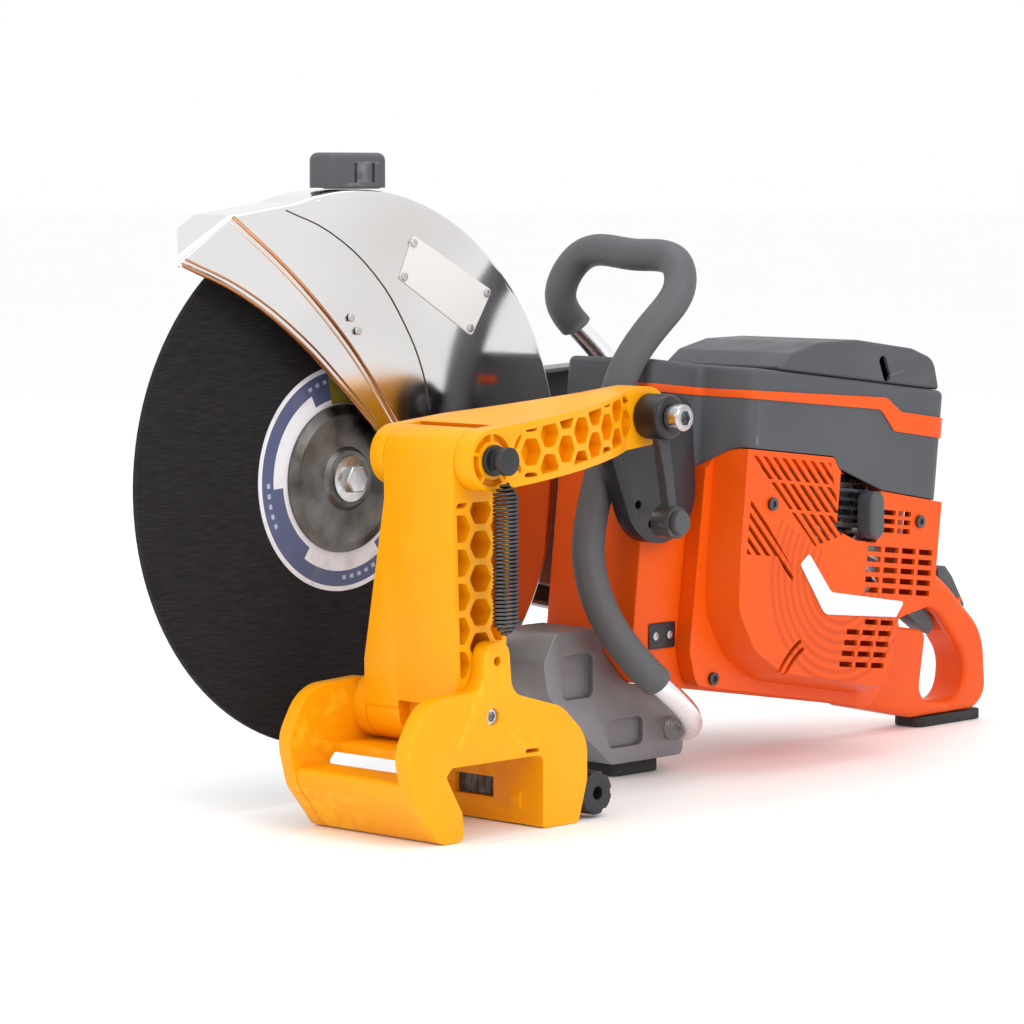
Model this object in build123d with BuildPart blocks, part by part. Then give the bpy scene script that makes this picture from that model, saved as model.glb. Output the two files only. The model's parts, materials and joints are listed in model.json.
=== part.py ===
"""Petrol rail saw with its hinged rail attachment, one solid or group of solids per physical piece.

Frame: millimetres, +Z up, floor at Z = 0 under the middle of the saw. +X points to the rear handle,
-Y is the starter side, +Y is the belt side.
"""
import os
from math import cos, radians, sin

from build123d import *

os.makedirs("parts", exist_ok=True)

# ---------------------------------------------------------------- driving dimensions
RUNNING_GAP = 0.05  # radial gap of a shaft in its bore
CLEAR = 0.5  # free gap between neighbouring pieces

# blade and spindle
SPINDLE_X, SPINDLE_Z = -250, 240
BLADE_Y = 72
BLADE_RADIUS = 200
BLADE_THICKNESS = 4.4
ARBOR_RADIUS = 12.7
FLANGE_RADIUS = 55
LABEL_RADIUS = 84

# guard
GUARD_RADIUS = 214
GUARD_FRONT_Y, GUARD_BACK_Y = 49, 90
GUARD_WALL = 2

# belt drive and cutting arm
CRANK_X, CRANK_Z = 180, 170
ARM_Y, ARM_THICKNESS = 92, 18
BELT_Y, BELT_WIDTH = 119, 11
DRIVEN_PITCH, DRIVE_PITCH = 45, 30
COVER_BACK_Y = 143

# rail attachment
CLAMP_X, PIVOT_Z = -297, 85
CLAMP_FRONT_Y, CLAMP_BACK_Y = -133, -3
CHEEK = 12
PIVOT_RADIUS = 6
ELBOW_X, ELBOW_Z, ELBOW_RADIUS = -302, 266, 22
HUB_X, HUB_Z, HUB_RADIUS = -89, 286, 22
LOWER_ARM_FRONT_Y = -120.5
LOWER_ARM_BACK_Y_TOP, LOWER_ARM_BACK_Y_FOOT = -51, -29
UPPER_ARM_FRONT_Y, UPPER_ARM_BACK_Y = -137, -37
HUB_FRONT_Y, HUB_BACK_Y = -91, -61
CAM_X, CAM_Z = -184.5, 18
HEX_PITCH, HEX_RADIUS, HEX_DEPTH = 24, 11.1, 17

# engine unit: its casings lean back by BODY_TILT about a line at Z = BODY_Z
BODY_TILT = 6.5
BODY_Z = 200
BODY_FRONT_Y, BODY_BACK_Y = -46, 45
STARTER_Y = -88
WALL = 3

# handles
TUBE_RADIUS, GRIP_RADIUS = 9, 12.5
HANDLE_Y, HANDLE_WIDTH = 12, 34


# ---------------------------------------------------------------- helpers
def side(y):
    """Upright plane at this Y: local x is X, local y is Z, and extrusion runs towards -Y."""
    return Plane(origin=(0, y, 0), x_dir=(1, 0, 0), z_dir=(0, -1, 0))


def body_side(y):
    """The same plane leaned back with the engine unit."""
    lean = radians(BODY_TILT)
    return Plane(origin=(0, y, BODY_Z), x_dir=(cos(lean), 0, -sin(lean)), z_dir=(0, -1, 0))


def body_top(height):
    """Plan plane of the engine unit: local x runs to the rear, local y is Y."""
    lean = radians(BODY_TILT)
    up = Vector(sin(lean), 0, cos(lean))
    return Plane(origin=Vector(0, 0, BODY_Z) + up * height, x_dir=(cos(lean), 0, -sin(lean)), z_dir=up)


def body_point(along, height):
    """X and Z of a point given in the leaned frame of the engine unit."""
    lean = radians(BODY_TILT)
    x = along * cos(lean) + height * sin(lean)
    z = BODY_Z - along * sin(lean) + height * cos(lean)
    return x, z


def rounded(corners):
    """Closed face through corners given as (x, y, radius)."""
    points = [corner[:2] for corner in corners]
    radii = [corner[2] for corner in corners]
    with BuildSketch() as face:
        with BuildLine():
            FilletPolyline(*points, radius=radii, close=True)
        make_face()
    return face.sketch


def hull(*discs):
    """Face wrapped tightly round discs given as (x, z, radius)."""
    with BuildSketch() as face:
        for x, z, radius in discs:
            with Locations((x, z)):
                Circle(radius)
        make_hull()
    return face.sketch


def honeycomb(columns, rows):
    """Field of round-cornered hexagons with ribs between them, centred on the local origin."""
    with BuildSketch() as cell:
        RegularPolygon(HEX_RADIUS, 6)
        fillet(cell.vertices(), 3.6)
    with BuildSketch() as field:
        with HexLocations(HEX_PITCH / 2, columns, rows):
            add(cell.sketch)
    return field.sketch


# ================================================================ rail attachment
# clamp frame: two cheeks, hook bar, seat on the rail head, jaw wall and shaft lugs
NOTCH_TOP, SEAT_TOP = 53, 59.5
cheek_outline = [
    (CLAMP_X + 19, 100, 14), (CLAMP_X + 70, 86, 30), (CLAMP_X + 97, 62, 30), (CLAMP_X + 97, 30, 20),
    (CLAMP_X + 88, 0, 5), (CLAMP_X + 51, 0, 2), (CLAMP_X + 51, NOTCH_TOP, 6), (CLAMP_X - 41, NOTCH_TOP, 3),
    (CLAMP_X - 47, 47, 3), (CLAMP_X - 31, 20, 6), (CLAMP_X - 29, 0, 6), (CLAMP_X - 52, 0, 8),
    (CLAMP_X - 78, 32, 20), (CLAMP_X - 87, 66, 30), (CLAMP_X - 66, 102, 34), (CLAMP_X - 12, 104.5, 12),
]
spring_horn = [(CLAMP_X - 7.5, 137.5, 10.5), (CLAMP_X + 15.5, 137.5, 10.5)]
hook_outline = [
    (CLAMP_X - 80.5, 45, 4), (CLAMP_X - 77, 32, 8), (CLAMP_X - 52, 0, 8), (CLAMP_X - 29, 0, 6),
    (CLAMP_X - 31, 20, 3), (CLAMP_X - 45, 45, 3),
]
LUG_YS = (-101, -32)
LUG_WIDTH = 10
SLOT_Y, SLOT_WIDTH, SLOT_Z, SLOT_HEIGHT = -64, 39, 24.5, 15
SPRING_HOLE = (CLAMP_X + 4, 124)

with BuildPart() as clamp_frame:
    for cheek_y, corners in (
        (CLAMP_BACK_Y, cheek_outline), (CLAMP_FRONT_Y + CHEEK, spring_horn + cheek_outline),
    ):
        with BuildSketch(side(cheek_y)):
            add(rounded(corners))
        extrude(amount=CHEEK)
    with BuildSketch(side(CLAMP_BACK_Y - 1)):
        add(rounded(hook_outline))
        with Locations((CLAMP_X + 22, (NOTCH_TOP + SEAT_TOP) / 2)):
            Rectangle(128, SEAT_TOP - NOTCH_TOP)
        with Locations((CLAMP_X + 56, 30)):
            Rectangle(10, 58.5)
    extrude(amount=CLAMP_BACK_Y - CLAMP_FRONT_Y - 2)
    with BuildSketch(side(CLAMP_BACK_Y - CHEEK)):
        with Locations((CLAMP_X, PIVOT_Z)):
            Circle(24)
    extrude(amount=CLAMP_BACK_Y - CHEEK - LOWER_ARM_BACK_Y_FOOT - CLEAR)
    for lug_y in LUG_YS:
        with BuildSketch(side(lug_y)):
            add(hull((CAM_X, CAM_Z, 11), (CLAMP_X + 60, CAM_Z, 11)))
        extrude(amount=LUG_WIDTH)
        with BuildSketch(side(lug_y)):
            with Locations((CAM_X, CAM_Z)):
                Circle(5 + RUNNING_GAP)
        extrude(amount=LUG_WIDTH, mode=Mode.SUBTRACT)
    with BuildSketch(Plane.YZ.offset(CLAMP_X + 48)):
        with Locations((SLOT_Y, SLOT_Z)):
            Rectangle(SLOT_WIDTH, SLOT_HEIGHT)
    extrude(amount=40, mode=Mode.SUBTRACT)
    with BuildSketch(side(CLAMP_BACK_Y + 1)):
        with Locations((CLAMP_X, PIVOT_Z)):
            Circle(PIVOT_RADIUS + RUNNING_GAP)
    extrude(amount=150, mode=Mode.SUBTRACT)
    with BuildSketch(side(CLAMP_FRONT_Y + CHEEK + 1)):
        with Locations(SPRING_HOLE):
            Circle(3.5)
        with Locations((CLAMP_X + 40, 57)):
            SlotOverall(14, 3)
    extrude(amount=CHEEK + 2, mode=Mode.SUBTRACT)
clamp_frame.part.label = "clamp_frame"
export_step(clamp_frame.part, "parts/clamp_frame.step")

JAW_REST_X = CLAMP_X + 55
JAW_END_X = CAM_X - 11.4
with BuildPart() as clamp_jaw:
    with BuildSketch(Plane.YZ.offset(JAW_REST_X)):
        with Locations((SLOT_Y, SLOT_Z)):
            RectangleRounded(SLOT_WIDTH - 2 * CLEAR, SLOT_HEIGHT - 2 * CLEAR, 2)
    extrude(amount=JAW_END_X - JAW_REST_X)
    for groove in range(-2, 3):
        with Locations((JAW_REST_X, SLOT_Y + groove * 7, SLOT_Z)):
            Box(1.6, 1.2, SLOT_HEIGHT + 2, mode=Mode.SUBTRACT)
clamp_jaw.part.label = "clamp_jaw"
export_step(clamp_jaw.part, "parts/clamp_jaw.step")

with BuildPart() as clamp_shaft:
    with BuildSketch(side(-28)):
        with Locations((CAM_X, CAM_Z)):
            Circle(5)
    extrude(amount=90)
    with BuildSketch(side(-47)):
        add(hull((CAM_X, CAM_Z, 10), (CAM_X, CAM_Z + 12.5, 5)))
    extrude(amount=50)
    with BuildSketch(side(-28)):
        with Locations((CAM_X, CAM_Z)):
            Circle(8)
    extrude(amount=3)
clamp_shaft.part.label = "clamp_shaft"
export_step(clamp_shaft.part, "parts/clamp_shaft.step")

KNOB_LOBES = 6
with BuildPart() as clamp_knob:
    with BuildSketch(side(-112)):
        with Locations((CAM_X, CAM_Z)):
            Circle(16)
            with PolarLocations(17.5, KNOB_LOBES):
                Circle(3, mode=Mode.SUBTRACT)
            Circle(5, mode=Mode.SUBTRACT)
    extrude(amount=17)
    knob_face = clamp_knob.faces().sort_by(Axis.Y)[0]
    chamfer(knob_face.outer_wire().edges(), 1.2)
clamp_knob.part.label = "clamp_knob"
export_step(clamp_knob.part, "parts/clamp_knob.step")

with BuildPart() as clamp_pivot_bolt:
    with BuildSketch(side(CLAMP_BACK_Y - 2)):
        with Locations((CLAMP_X, PIVOT_Z)):
            Circle(PIVOT_RADIUS)
    extrude(amount=CLAMP_BACK_Y - CLAMP_FRONT_Y - 4)
    with BuildSketch(side(CLAMP_FRONT_Y + 8)):
        with Locations((CLAMP_X, PIVOT_Z)):
            RegularPolygon(4, 6)
    extrude(amount=10, mode=Mode.SUBTRACT)
clamp_pivot_bolt.part.label = "clamp_pivot_bolt"
export_step(clamp_pivot_bolt.part, "parts/clamp_pivot_bolt.step")

# lower arm: tapers in width from the foot to the elbow, honeycomb pockets in both sides
FOOT_RADIUS = 24
with BuildPart() as lower_arm:
    with BuildSketch(side(0)):
        add(hull((CLAMP_X, PIVOT_Z, FOOT_RADIUS), (ELBOW_X, ELBOW_Z, ELBOW_RADIUS)))
        add(rounded([
            (CLAMP_X - 25, PIVOT_Z, 4), (CLAMP_X + 24, PIVOT_Z, 4), (CLAMP_X + 30, 232, 12),
            (ELBOW_X, 240, 4), (ELBOW_X - 22, 266, 4),
        ]))
    extrude(amount=150)
    with BuildSketch(Plane.YZ.offset(CLAMP_X - 60)):
        with BuildLine():
            Polyline(
                (LOWER_ARM_FRONT_Y, 0), (LOWER_ARM_BACK_Y_FOOT, 0), (LOWER_ARM_BACK_Y_FOOT, 120),
                (LOWER_ARM_BACK_Y_TOP, 236), (LOWER_ARM_BACK_Y_TOP, 320), (LOWER_ARM_FRONT_Y, 320),
                close=True,
            )
        make_face()
    extrude(amount=160, mode=Mode.INTERSECT)
    pocket_window = rounded([
        (CLAMP_X - 20, 112, 3), (CLAMP_X + 21, 112, 3), (CLAMP_X + 25, 236, 3), (CLAMP_X - 24, 236, 3),
    ])
    with BuildSketch(side(LOWER_ARM_FRONT_Y + HEX_DEPTH)):
        with Locations((CLAMP_X, 176)):
            add(honeycomb(9, 6))
        add(pocket_window, mode=Mode.INTERSECT)
    extrude(amount=HEX_DEPTH + 1, mode=Mode.SUBTRACT)
    for bore_x, bore_z, bore_radius in ((CLAMP_X, PIVOT_Z, PIVOT_RADIUS), (ELBOW_X, ELBOW_Z, 8)):
        with BuildSketch(side(0)):
            with Locations((bore_x, bore_z)):
                Circle(bore_radius + RUNNING_GAP)
        extrude(amount=150, mode=Mode.SUBTRACT)
    with BuildSketch(Plane.YZ.offset(CLAMP_X - 40)):
        with Locations((-78, 83)):
            RectangleRounded(30, 20, 2)
    extrude(amount=26, mode=Mode.SUBTRACT)
lower_arm.part.label = "lower_arm"
export_step(lower_arm.part, "parts/lower_arm.step")

# upper arm: fork over the elbow, curved front wall, round eye at the hub
WALL_ARC = ((-262, UPPER_ARM_FRONT_Y), (-178, -121), (-112, HUB_FRONT_Y))
ARM_POCKET_DEPTH = 12
with BuildPart() as upper_pockets:
    with BuildSketch(side(-60)):
        with Locations(((ELBOW_X + HUB_X) / 2 + 16, (ELBOW_Z + HUB_Z) / 2)):
            add(honeycomb(11, 4))
        add(hull((ELBOW_X + 38, ELBOW_Z + 3, 17), (HUB_X - 32, HUB_Z - 1, 17)), mode=Mode.INTERSECT)
    extrude(amount=100)
    with BuildSketch(Plane.XY.offset(200)):
        with BuildLine():
            floor_arc = ThreePointArc(*[(x, y + ARM_POCKET_DEPTH) for x, y in WALL_ARC])
            Polyline(
                floor_arc @ 1, (-80, -160), (-290, -160), (-290, UPPER_ARM_FRONT_Y + ARM_POCKET_DEPTH),
                floor_arc @ 0,
            )
        make_face()
    extrude(amount=140, mode=Mode.INTERSECT)

with BuildPart() as upper_arm:
    with BuildSketch(Plane.XY.offset(200)):
        with BuildLine():
            ThreePointArc(*WALL_ARC)
            Polyline(WALL_ARC[2], (-60, HUB_FRONT_Y), (-60, HUB_BACK_Y), (-130, HUB_BACK_Y))
            ThreePointArc((-130, HUB_BACK_Y), (-190, -52), (-250, UPPER_ARM_BACK_Y))
            Polyline(
                (-250, UPPER_ARM_BACK_Y), (-330, UPPER_ARM_BACK_Y), (-330, UPPER_ARM_FRONT_Y), WALL_ARC[0],
            )
        make_face()
    extrude(amount=140)
    with BuildSketch(side(0)):
        add(hull((ELBOW_X, ELBOW_Z, ELBOW_RADIUS), (HUB_X, HUB_Z, HUB_RADIUS)))
    extrude(amount=160, mode=Mode.INTERSECT)
    with BuildSketch(side(LOWER_ARM_BACK_Y_TOP + CLEAR)):
        with Locations((ELBOW_X, ELBOW_Z)):
            Circle(ELBOW_RADIUS + 6)
        with Locations((ELBOW_X - 20, ELBOW_Z)):
            Rectangle(40, 80)
        with Locations((ELBOW_X + 10, ELBOW_Z - 20)):
            Rectangle(72, 40)
    extrude(amount=LOWER_ARM_BACK_Y_TOP - LOWER_ARM_FRONT_Y + 2 * CLEAR, mode=Mode.SUBTRACT)
    add(upper_pockets.part, mode=Mode.SUBTRACT)
    with BuildSketch(side(UPPER_ARM_FRONT_Y + 6)):
        with Locations((ELBOW_X, ELBOW_Z)):
            Circle(18.5)
            Circle(13.5, mode=Mode.SUBTRACT)
            with PolarLocations(16, 5, start_angle=18):
                Rectangle(7, 2.4, mode=Mode.SUBTRACT)
    extrude(amount=10, mode=Mode.SUBTRACT)
    for bore_x, bore_z in ((ELBOW_X, ELBOW_Z), (HUB_X, HUB_Z)):
        with BuildSketch(side(0)):
            with Locations((bore_x, bore_z)):
                Circle(8 + RUNNING_GAP)
        extrude(amount=160, mode=Mode.SUBTRACT)
upper_arm.part.label = "upper_arm"
export_step(upper_arm.part, "parts/upper_arm.step")

# elbow bolt: its shank is the hinge pin and its long head carries the spring
SPRING_Y = -147
with BuildPart() as elbow_bolt:
    for start_y, radius, length in (
        (UPPER_ARM_BACK_Y + 4, 11, 3.5), (UPPER_ARM_BACK_Y + 1, 8, UPPER_ARM_BACK_Y - UPPER_ARM_FRONT_Y + 2),
        (UPPER_ARM_FRONT_Y - CLEAR, 11, 3.5), (UPPER_ARM_FRONT_Y - 3, 6, 11), (SPRING_Y - 2, 10, 5),
    ):
        with BuildSketch(side(start_y)):
            with Locations((ELBOW_X, ELBOW_Z)):
                Circle(radius)
        extrude(amount=length)
elbow_bolt.part.label = "elbow_bolt"
export_step(elbow_bolt.part, "parts/elbow_bolt.step")

# return spring: plain envelope of the close-wound coil between the elbow and the clamp
SPRING_RADIUS = 9.5
SPRING_TOP_Z, SPRING_LOW_Z = ELBOW_Z - 12, 140
with BuildPart() as return_spring:
    with BuildSketch(Plane.XY.offset(SPRING_LOW_Z)):
        with Locations((ELBOW_X + 3, SPRING_Y)):
            Circle(SPRING_RADIUS)
            Circle(SPRING_RADIUS - 2.5, mode=Mode.SUBTRACT)
    extrude(amount=SPRING_TOP_Z - SPRING_LOW_Z)
return_spring.part.label = "return_spring"
export_step(return_spring.part, "parts/return_spring.step")

# hub on the saw: adapter plate, bolt as hinge pin, turning sleeve with its lock lever
ADAPTER_Y, ADAPTER_THICKNESS = BODY_FRONT_Y - CLEAR, 14
with BuildPart() as saw_adapter:
    with BuildSketch(side(ADAPTER_Y)):
        add(hull((-40, 226, 40), (HUB_X, HUB_Z, 18)))
        add(hull((-40, 226, 40), (-22, HUB_Z - 6, 18)))
        with Locations((HUB_X, HUB_Z)):
            Circle(8, mode=Mode.SUBTRACT)
        with Locations((-40, 226)):
            with PolarLocations(27, 3, start_angle=200, angular_range=140):
                Circle(3.3, mode=Mode.SUBTRACT)
    extrude(amount=ADAPTER_THICKNESS)
saw_adapter.part.label = "saw_adapter"
export_step(saw_adapter.part, "parts/saw_adapter.step")

SLEEVE_Y, SLEEVE_END_Y = HUB_FRONT_Y - CLEAR, -115
SLEEVE_RADIUS = 17
with BuildPart() as hub_sleeve:
    with BuildSketch(side(SLEEVE_Y)):
        with Locations((HUB_X, HUB_Z)):
            Circle(SLEEVE_RADIUS)
            Circle(8 + RUNNING_GAP, mode=Mode.SUBTRACT)
    extrude(amount=SLEEVE_Y - SLEEVE_END_Y)
    fillet(hub_sleeve.faces().sort_by(Axis.Y)[0].outer_wire().edges(), 4)
hub_sleeve.part.label = "hub_sleeve"
export_step(hub_sleeve.part, "parts/hub_sleeve.step")

BOLT_HEAD_Y = SLEEVE_END_Y - CLEAR
with BuildPart() as hub_bolt:
    with BuildSketch(side(ADAPTER_Y)):
        with Locations((HUB_X, HUB_Z)):
            Circle(8)
    extrude(amount=ADAPTER_Y - BOLT_HEAD_Y)
    with BuildSketch(side(BOLT_HEAD_Y)):
        with Locations((HUB_X, HUB_Z)):
            Circle(10)
    extrude(amount=13)
    chamfer(hub_bolt.faces().sort_by(Axis.Y)[0].outer_wire().edges(), 1.5)
    with BuildSketch(side(BOLT_HEAD_Y - 4)):
        with Locations((HUB_X, HUB_Z)):
            RegularPolygon(5.8, 6)
    extrude(amount=12, mode=Mode.SUBTRACT)
hub_bolt.part.label = "hub_bolt"
export_step(hub_bolt.part, "parts/hub_bolt.step")

LEVER_X, LEVER_Z, LEVER_Y = -78, 207, -103
with BuildPart() as lock_lever:
    with BuildSketch(side(LEVER_Y + 4)):
        add(hull((HUB_X + 1, HUB_Z - 16, 5), (LEVER_X, LEVER_Z + 8, 4)))
    extrude(amount=8)
    with BuildSketch(side(LEVER_Y + 8)):
        with Locations((LEVER_X, LEVER_Z)):
            Circle(12)
    extrude(amount=16)
    with BuildSketch(side(LEVER_Y + 10)):
        with Locations((LEVER_X, LEVER_Z)):
            Circle(6.5)
    extrude(amount=24, mode=Mode.SUBTRACT)
    with BuildSketch(side(LEVER_Y + 12)):
        with Locations((HUB_X, HUB_Z)):
            Circle(SLEEVE_RADIUS)
    extrude(amount=24, mode=Mode.SUBTRACT)
lock_lever.part.label = "lock_lever"
export_step(lock_lever.part, "parts/lock_lever.step")

with BuildPart() as lever_knob:
    with BuildSketch(side(LEVER_Y + 9)):
        with Locations((LEVER_X, LEVER_Z)):
            Circle(6.5)
    extrude(amount=19)
    with BuildSketch(side(LEVER_Y - 8)):
        with Locations((LEVER_X, LEVER_Z)):
            Circle(9)
    extrude(amount=6)
    fillet(lever_knob.faces().sort_by(Axis.Y)[0].outer_wire().edges(), 2)
lever_knob.part.label = "lever_knob"
export_step(lever_knob.part, "parts/lever_knob.step")

# ================================================================ cutting head
BLADE_FRONT = BLADE_Y - BLADE_THICKNESS / 2
BLADE_BACK = BLADE_Y + BLADE_THICKNESS / 2
with BuildPart() as blade:
    with BuildSketch(side(BLADE_BACK)):
        with Locations((SPINDLE_X, SPINDLE_Z)):
            Circle(BLADE_RADIUS)
            Circle(ARBOR_RADIUS, mode=Mode.SUBTRACT)
    extrude(amount=BLADE_THICKNESS)
blade.part.label = "blade"
export_step(blade.part, "parts/blade.step")

with BuildPart() as blade_label:
    with BuildSketch(side(BLADE_FRONT)):
        with Locations((SPINDLE_X, SPINDLE_Z)):
            Circle(LABEL_RADIUS)
            Circle(FLANGE_RADIUS + 0.2, mode=Mode.SUBTRACT)
    extrude(amount=0.4)
blade_label.part.label = "blade_label"
export_step(blade_label.part, "parts/blade_label.step")

# clamping flanges: dished discs that bear on the blade near their rim
FLANGE_DEPTH = 9
for flange_name, flange_y, outward in (("outer_flange", BLADE_FRONT, -1), ("inner_flange", BLADE_BACK, 1)):
    flange_plane = Plane(origin=(SPINDLE_X, flange_y, SPINDLE_Z), x_dir=(1, 0, 0), z_dir=(0, 0, outward))
    with BuildPart() as flange:
        with BuildSketch(flange_plane):
            with BuildLine():
                Polyline(
                    (ARBOR_RADIUS + 0.05, 1), (40, 1), (40, 0), (FLANGE_RADIUS, 0), (FLANGE_RADIUS, 3),
                    (48, 5.5), (24, 6), (21, FLANGE_DEPTH), (ARBOR_RADIUS + 0.05, FLANGE_DEPTH), close=True,
                )
            make_face()
        revolve(axis=Axis((SPINDLE_X, 0, SPINDLE_Z), (0, 1, 0)))
    flange.part.label = flange_name
    export_step(flange.part, f"parts/{flange_name}.step")

INNER_FLANGE_END = BLADE_BACK + FLANGE_DEPTH
SPINDLE_END = 134
with BuildPart() as spindle:
    for start_y, radius, length in (
        (INNER_FLANGE_END, ARBOR_RADIUS, INNER_FLANGE_END - BLADE_FRONT + 7),
        (INNER_FLANGE_END + 5, 15, 5),
        (SPINDLE_END, 8.5, SPINDLE_END - INNER_FLANGE_END),
    ):
        with BuildSketch(side(start_y)):
            with Locations((SPINDLE_X, SPINDLE_Z)):
                Circle(radius)
        extrude(amount=length)
    with BuildSketch(side(BLADE_FRONT + 8)):
        with Locations((SPINDLE_X, SPINDLE_Z)):
            Circle(5)
    extrude(amount=40, mode=Mode.SUBTRACT)
spindle.part.label = "spindle"
export_step(spindle.part, "parts/spindle.step")

BOLT_SEAT_Y = BLADE_FRONT - FLANGE_DEPTH
with BuildPart() as spindle_bolt:
    with BuildSketch(side(BLADE_FRONT)):
        with Locations((SPINDLE_X, SPINDLE_Z)):
            Circle(5)
    extrude(amount=FLANGE_DEPTH)
    with BuildSketch(side(BOLT_SEAT_Y)):
        with Locations((SPINDLE_X, SPINDLE_Z)):
            Circle(17)
    extrude(amount=2)
    with BuildSketch(side(BOLT_SEAT_Y - 2)):
        with Locations((SPINDLE_X, SPINDLE_Z)):
            RegularPolygon(11, 6)
    extrude(amount=7)
    chamfer(spindle_bolt.faces().sort_by(Axis.Y)[0].outer_wire().edges(), 1)
spindle_bolt.part.label = "spindle_bolt"
export_step(spindle_bolt.part, "parts/spindle_bolt.step")

# ball bearings: two on the spindle and two on the crankshaft, each a closed ring
BEARING_WIDTH = 10
SPINDLE_BEARING_YS = (105, 119)
CRANK_BEARING_YS = (-22, 40)
with BuildPart() as ball_bearings:
    for bearing_x, bearing_z, bearing_ys, bore, rim in (
        (SPINDLE_X, SPINDLE_Z, SPINDLE_BEARING_YS, 8.5, 19), (CRANK_X, CRANK_Z, CRANK_BEARING_YS, 10, 21),
    ):
        for bearing_y in bearing_ys:
            with BuildSketch(side(bearing_y)):
                with Locations((bearing_x, bearing_z)):
                    Circle(rim)
                    Circle(bore + RUNNING_GAP, mode=Mode.SUBTRACT)
            extrude(amount=BEARING_WIDTH)
ball_bearings.part.label = "ball_bearings"
export_step(ball_bearings.part, "parts/ball_bearings.step")

# cutting arm: flat casting from the spindle eye to the crankcase flange
ARM_EYE_RADIUS, ARM_ROOT_RADIUS = 40, 70
CLUTCH_RADIUS = 40
with BuildPart() as cutting_arm:
    with BuildSketch(side(ARM_Y + ARM_THICKNESS)):
        add(hull((SPINDLE_X, SPINDLE_Z, ARM_EYE_RADIUS), (CRANK_X, CRANK_Z, ARM_ROOT_RADIUS)))
    extrude(amount=ARM_THICKNESS)
    with BuildSketch(side(120)):
        with Locations((SPINDLE_X, SPINDLE_Z)):
            Circle(25.5)
    extrude(amount=36)
    with BuildSketch(side(ARM_Y)):
        with Locations((CRANK_X, CRANK_Z)):
            Circle(ARM_ROOT_RADIUS)
            Circle(ARM_ROOT_RADIUS - 8, mode=Mode.SUBTRACT)
    extrude(amount=ARM_Y - BODY_BACK_Y - 1)
    with BuildSketch(side(ARM_Y + ARM_THICKNESS)):
        add(hull((SPINDLE_X + 60, SPINDLE_Z, 24), (CRANK_X - 110, CRANK_Z + 8, 40)))
    extrude(amount=ARM_THICKNESS - 6, mode=Mode.SUBTRACT)
    with BuildSketch(side(130)):
        with Locations((CRANK_X, CRANK_Z)):
            Circle(CLUTCH_RADIUS + 6)
        with Locations((SPINDLE_X, SPINDLE_Z)):
            Circle(19)
    extrude(amount=60, mode=Mode.SUBTRACT)
cutting_arm.part.label = "cutting_arm"
export_step(cutting_arm.part, "parts/cutting_arm.step")

# pulleys, clutch drum and belt
PULLEY_Y = BELT_Y + BELT_WIDTH + 1.5
with BuildPart() as driven_pulley:
    with BuildSketch(side(PULLEY_Y)):
        with Locations((SPINDLE_X, SPINDLE_Z)):
            Circle(DRIVEN_PITCH)
            Circle(8.5, mode=Mode.SUBTRACT)
            with PolarLocations(27, 5):
                Circle(8, mode=Mode.SUBTRACT)
    extrude(amount=PULLEY_Y - 120.5)
driven_pulley.part.label = "driven_pulley"
export_step(driven_pulley.part, "parts/driven_pulley.step")

with BuildPart() as clutch_drum:
    for start_y, radius, length in ((PULLEY_Y, DRIVE_PITCH, 15), (PULLEY_Y - 14, CLUTCH_RADIUS, 20)):
        with BuildSketch(side(start_y)):
            with Locations((CRANK_X, CRANK_Z)):
                Circle(radius)
        extrude(amount=length)
    with BuildSketch(side(PULLEY_Y - 17)):
        with Locations((CRANK_X, CRANK_Z)):
            Circle(CLUTCH_RADIUS - 4)
    extrude(amount=30, mode=Mode.SUBTRACT)
    with BuildSketch(side(PULLEY_Y + 1)):
        with Locations((CRANK_X, CRANK_Z)):
            Circle(10)
    extrude(amount=40, mode=Mode.SUBTRACT)
clutch_drum.part.label = "clutch_drum"
export_step(clutch_drum.part, "parts/clutch_drum.step")

BELT_THICKNESS = 5
with BuildPart() as drive_belt:
    with BuildSketch(side(BELT_Y + BELT_WIDTH)):
        for gap, mode in ((CLEAR + BELT_THICKNESS, Mode.ADD), (CLEAR, Mode.SUBTRACT)):
            loop = hull((SPINDLE_X, SPINDLE_Z, DRIVEN_PITCH + gap), (CRANK_X, CRANK_Z, DRIVE_PITCH + gap))
            add(loop, mode=mode)
    extrude(amount=BELT_WIDTH - 0.5)
drive_belt.part.label = "drive_belt"
export_step(drive_belt.part, "parts/drive_belt.step")

# belt cover: shallow tray over the belt, wider at the clutch
COVER_EYE_RADIUS, COVER_ROOT_RADIUS = 58, 84
COVER_FRONT_Y = ARM_Y + ARM_THICKNESS + CLEAR


def cover_discs(inset):
    """Discs whose hull is the cover's outline, moved in by the inset."""
    return (
        (SPINDLE_X, SPINDLE_Z, COVER_EYE_RADIUS - inset), (CRANK_X - 110, CRANK_Z + 97, 46 - inset),
        (CRANK_X, CRANK_Z, COVER_ROOT_RADIUS - inset),
    )


with BuildPart() as belt_cover:
    with BuildSketch(side(COVER_BACK_Y)):
        add(hull(*cover_discs(0)))
    extrude(amount=COVER_BACK_Y - COVER_FRONT_Y)
    fillet(belt_cover.faces().sort_by(Axis.Y)[-1].outer_wire().edges(), 5)
    with BuildSketch(side(COVER_BACK_Y - WALL + 0.5)):
        add(hull(*cover_discs(WALL)))
    extrude(amount=COVER_BACK_Y - COVER_FRONT_Y, mode=Mode.SUBTRACT)
belt_cover.part.label = "belt_cover"
export_step(belt_cover.part, "parts/belt_cover.step")

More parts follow.
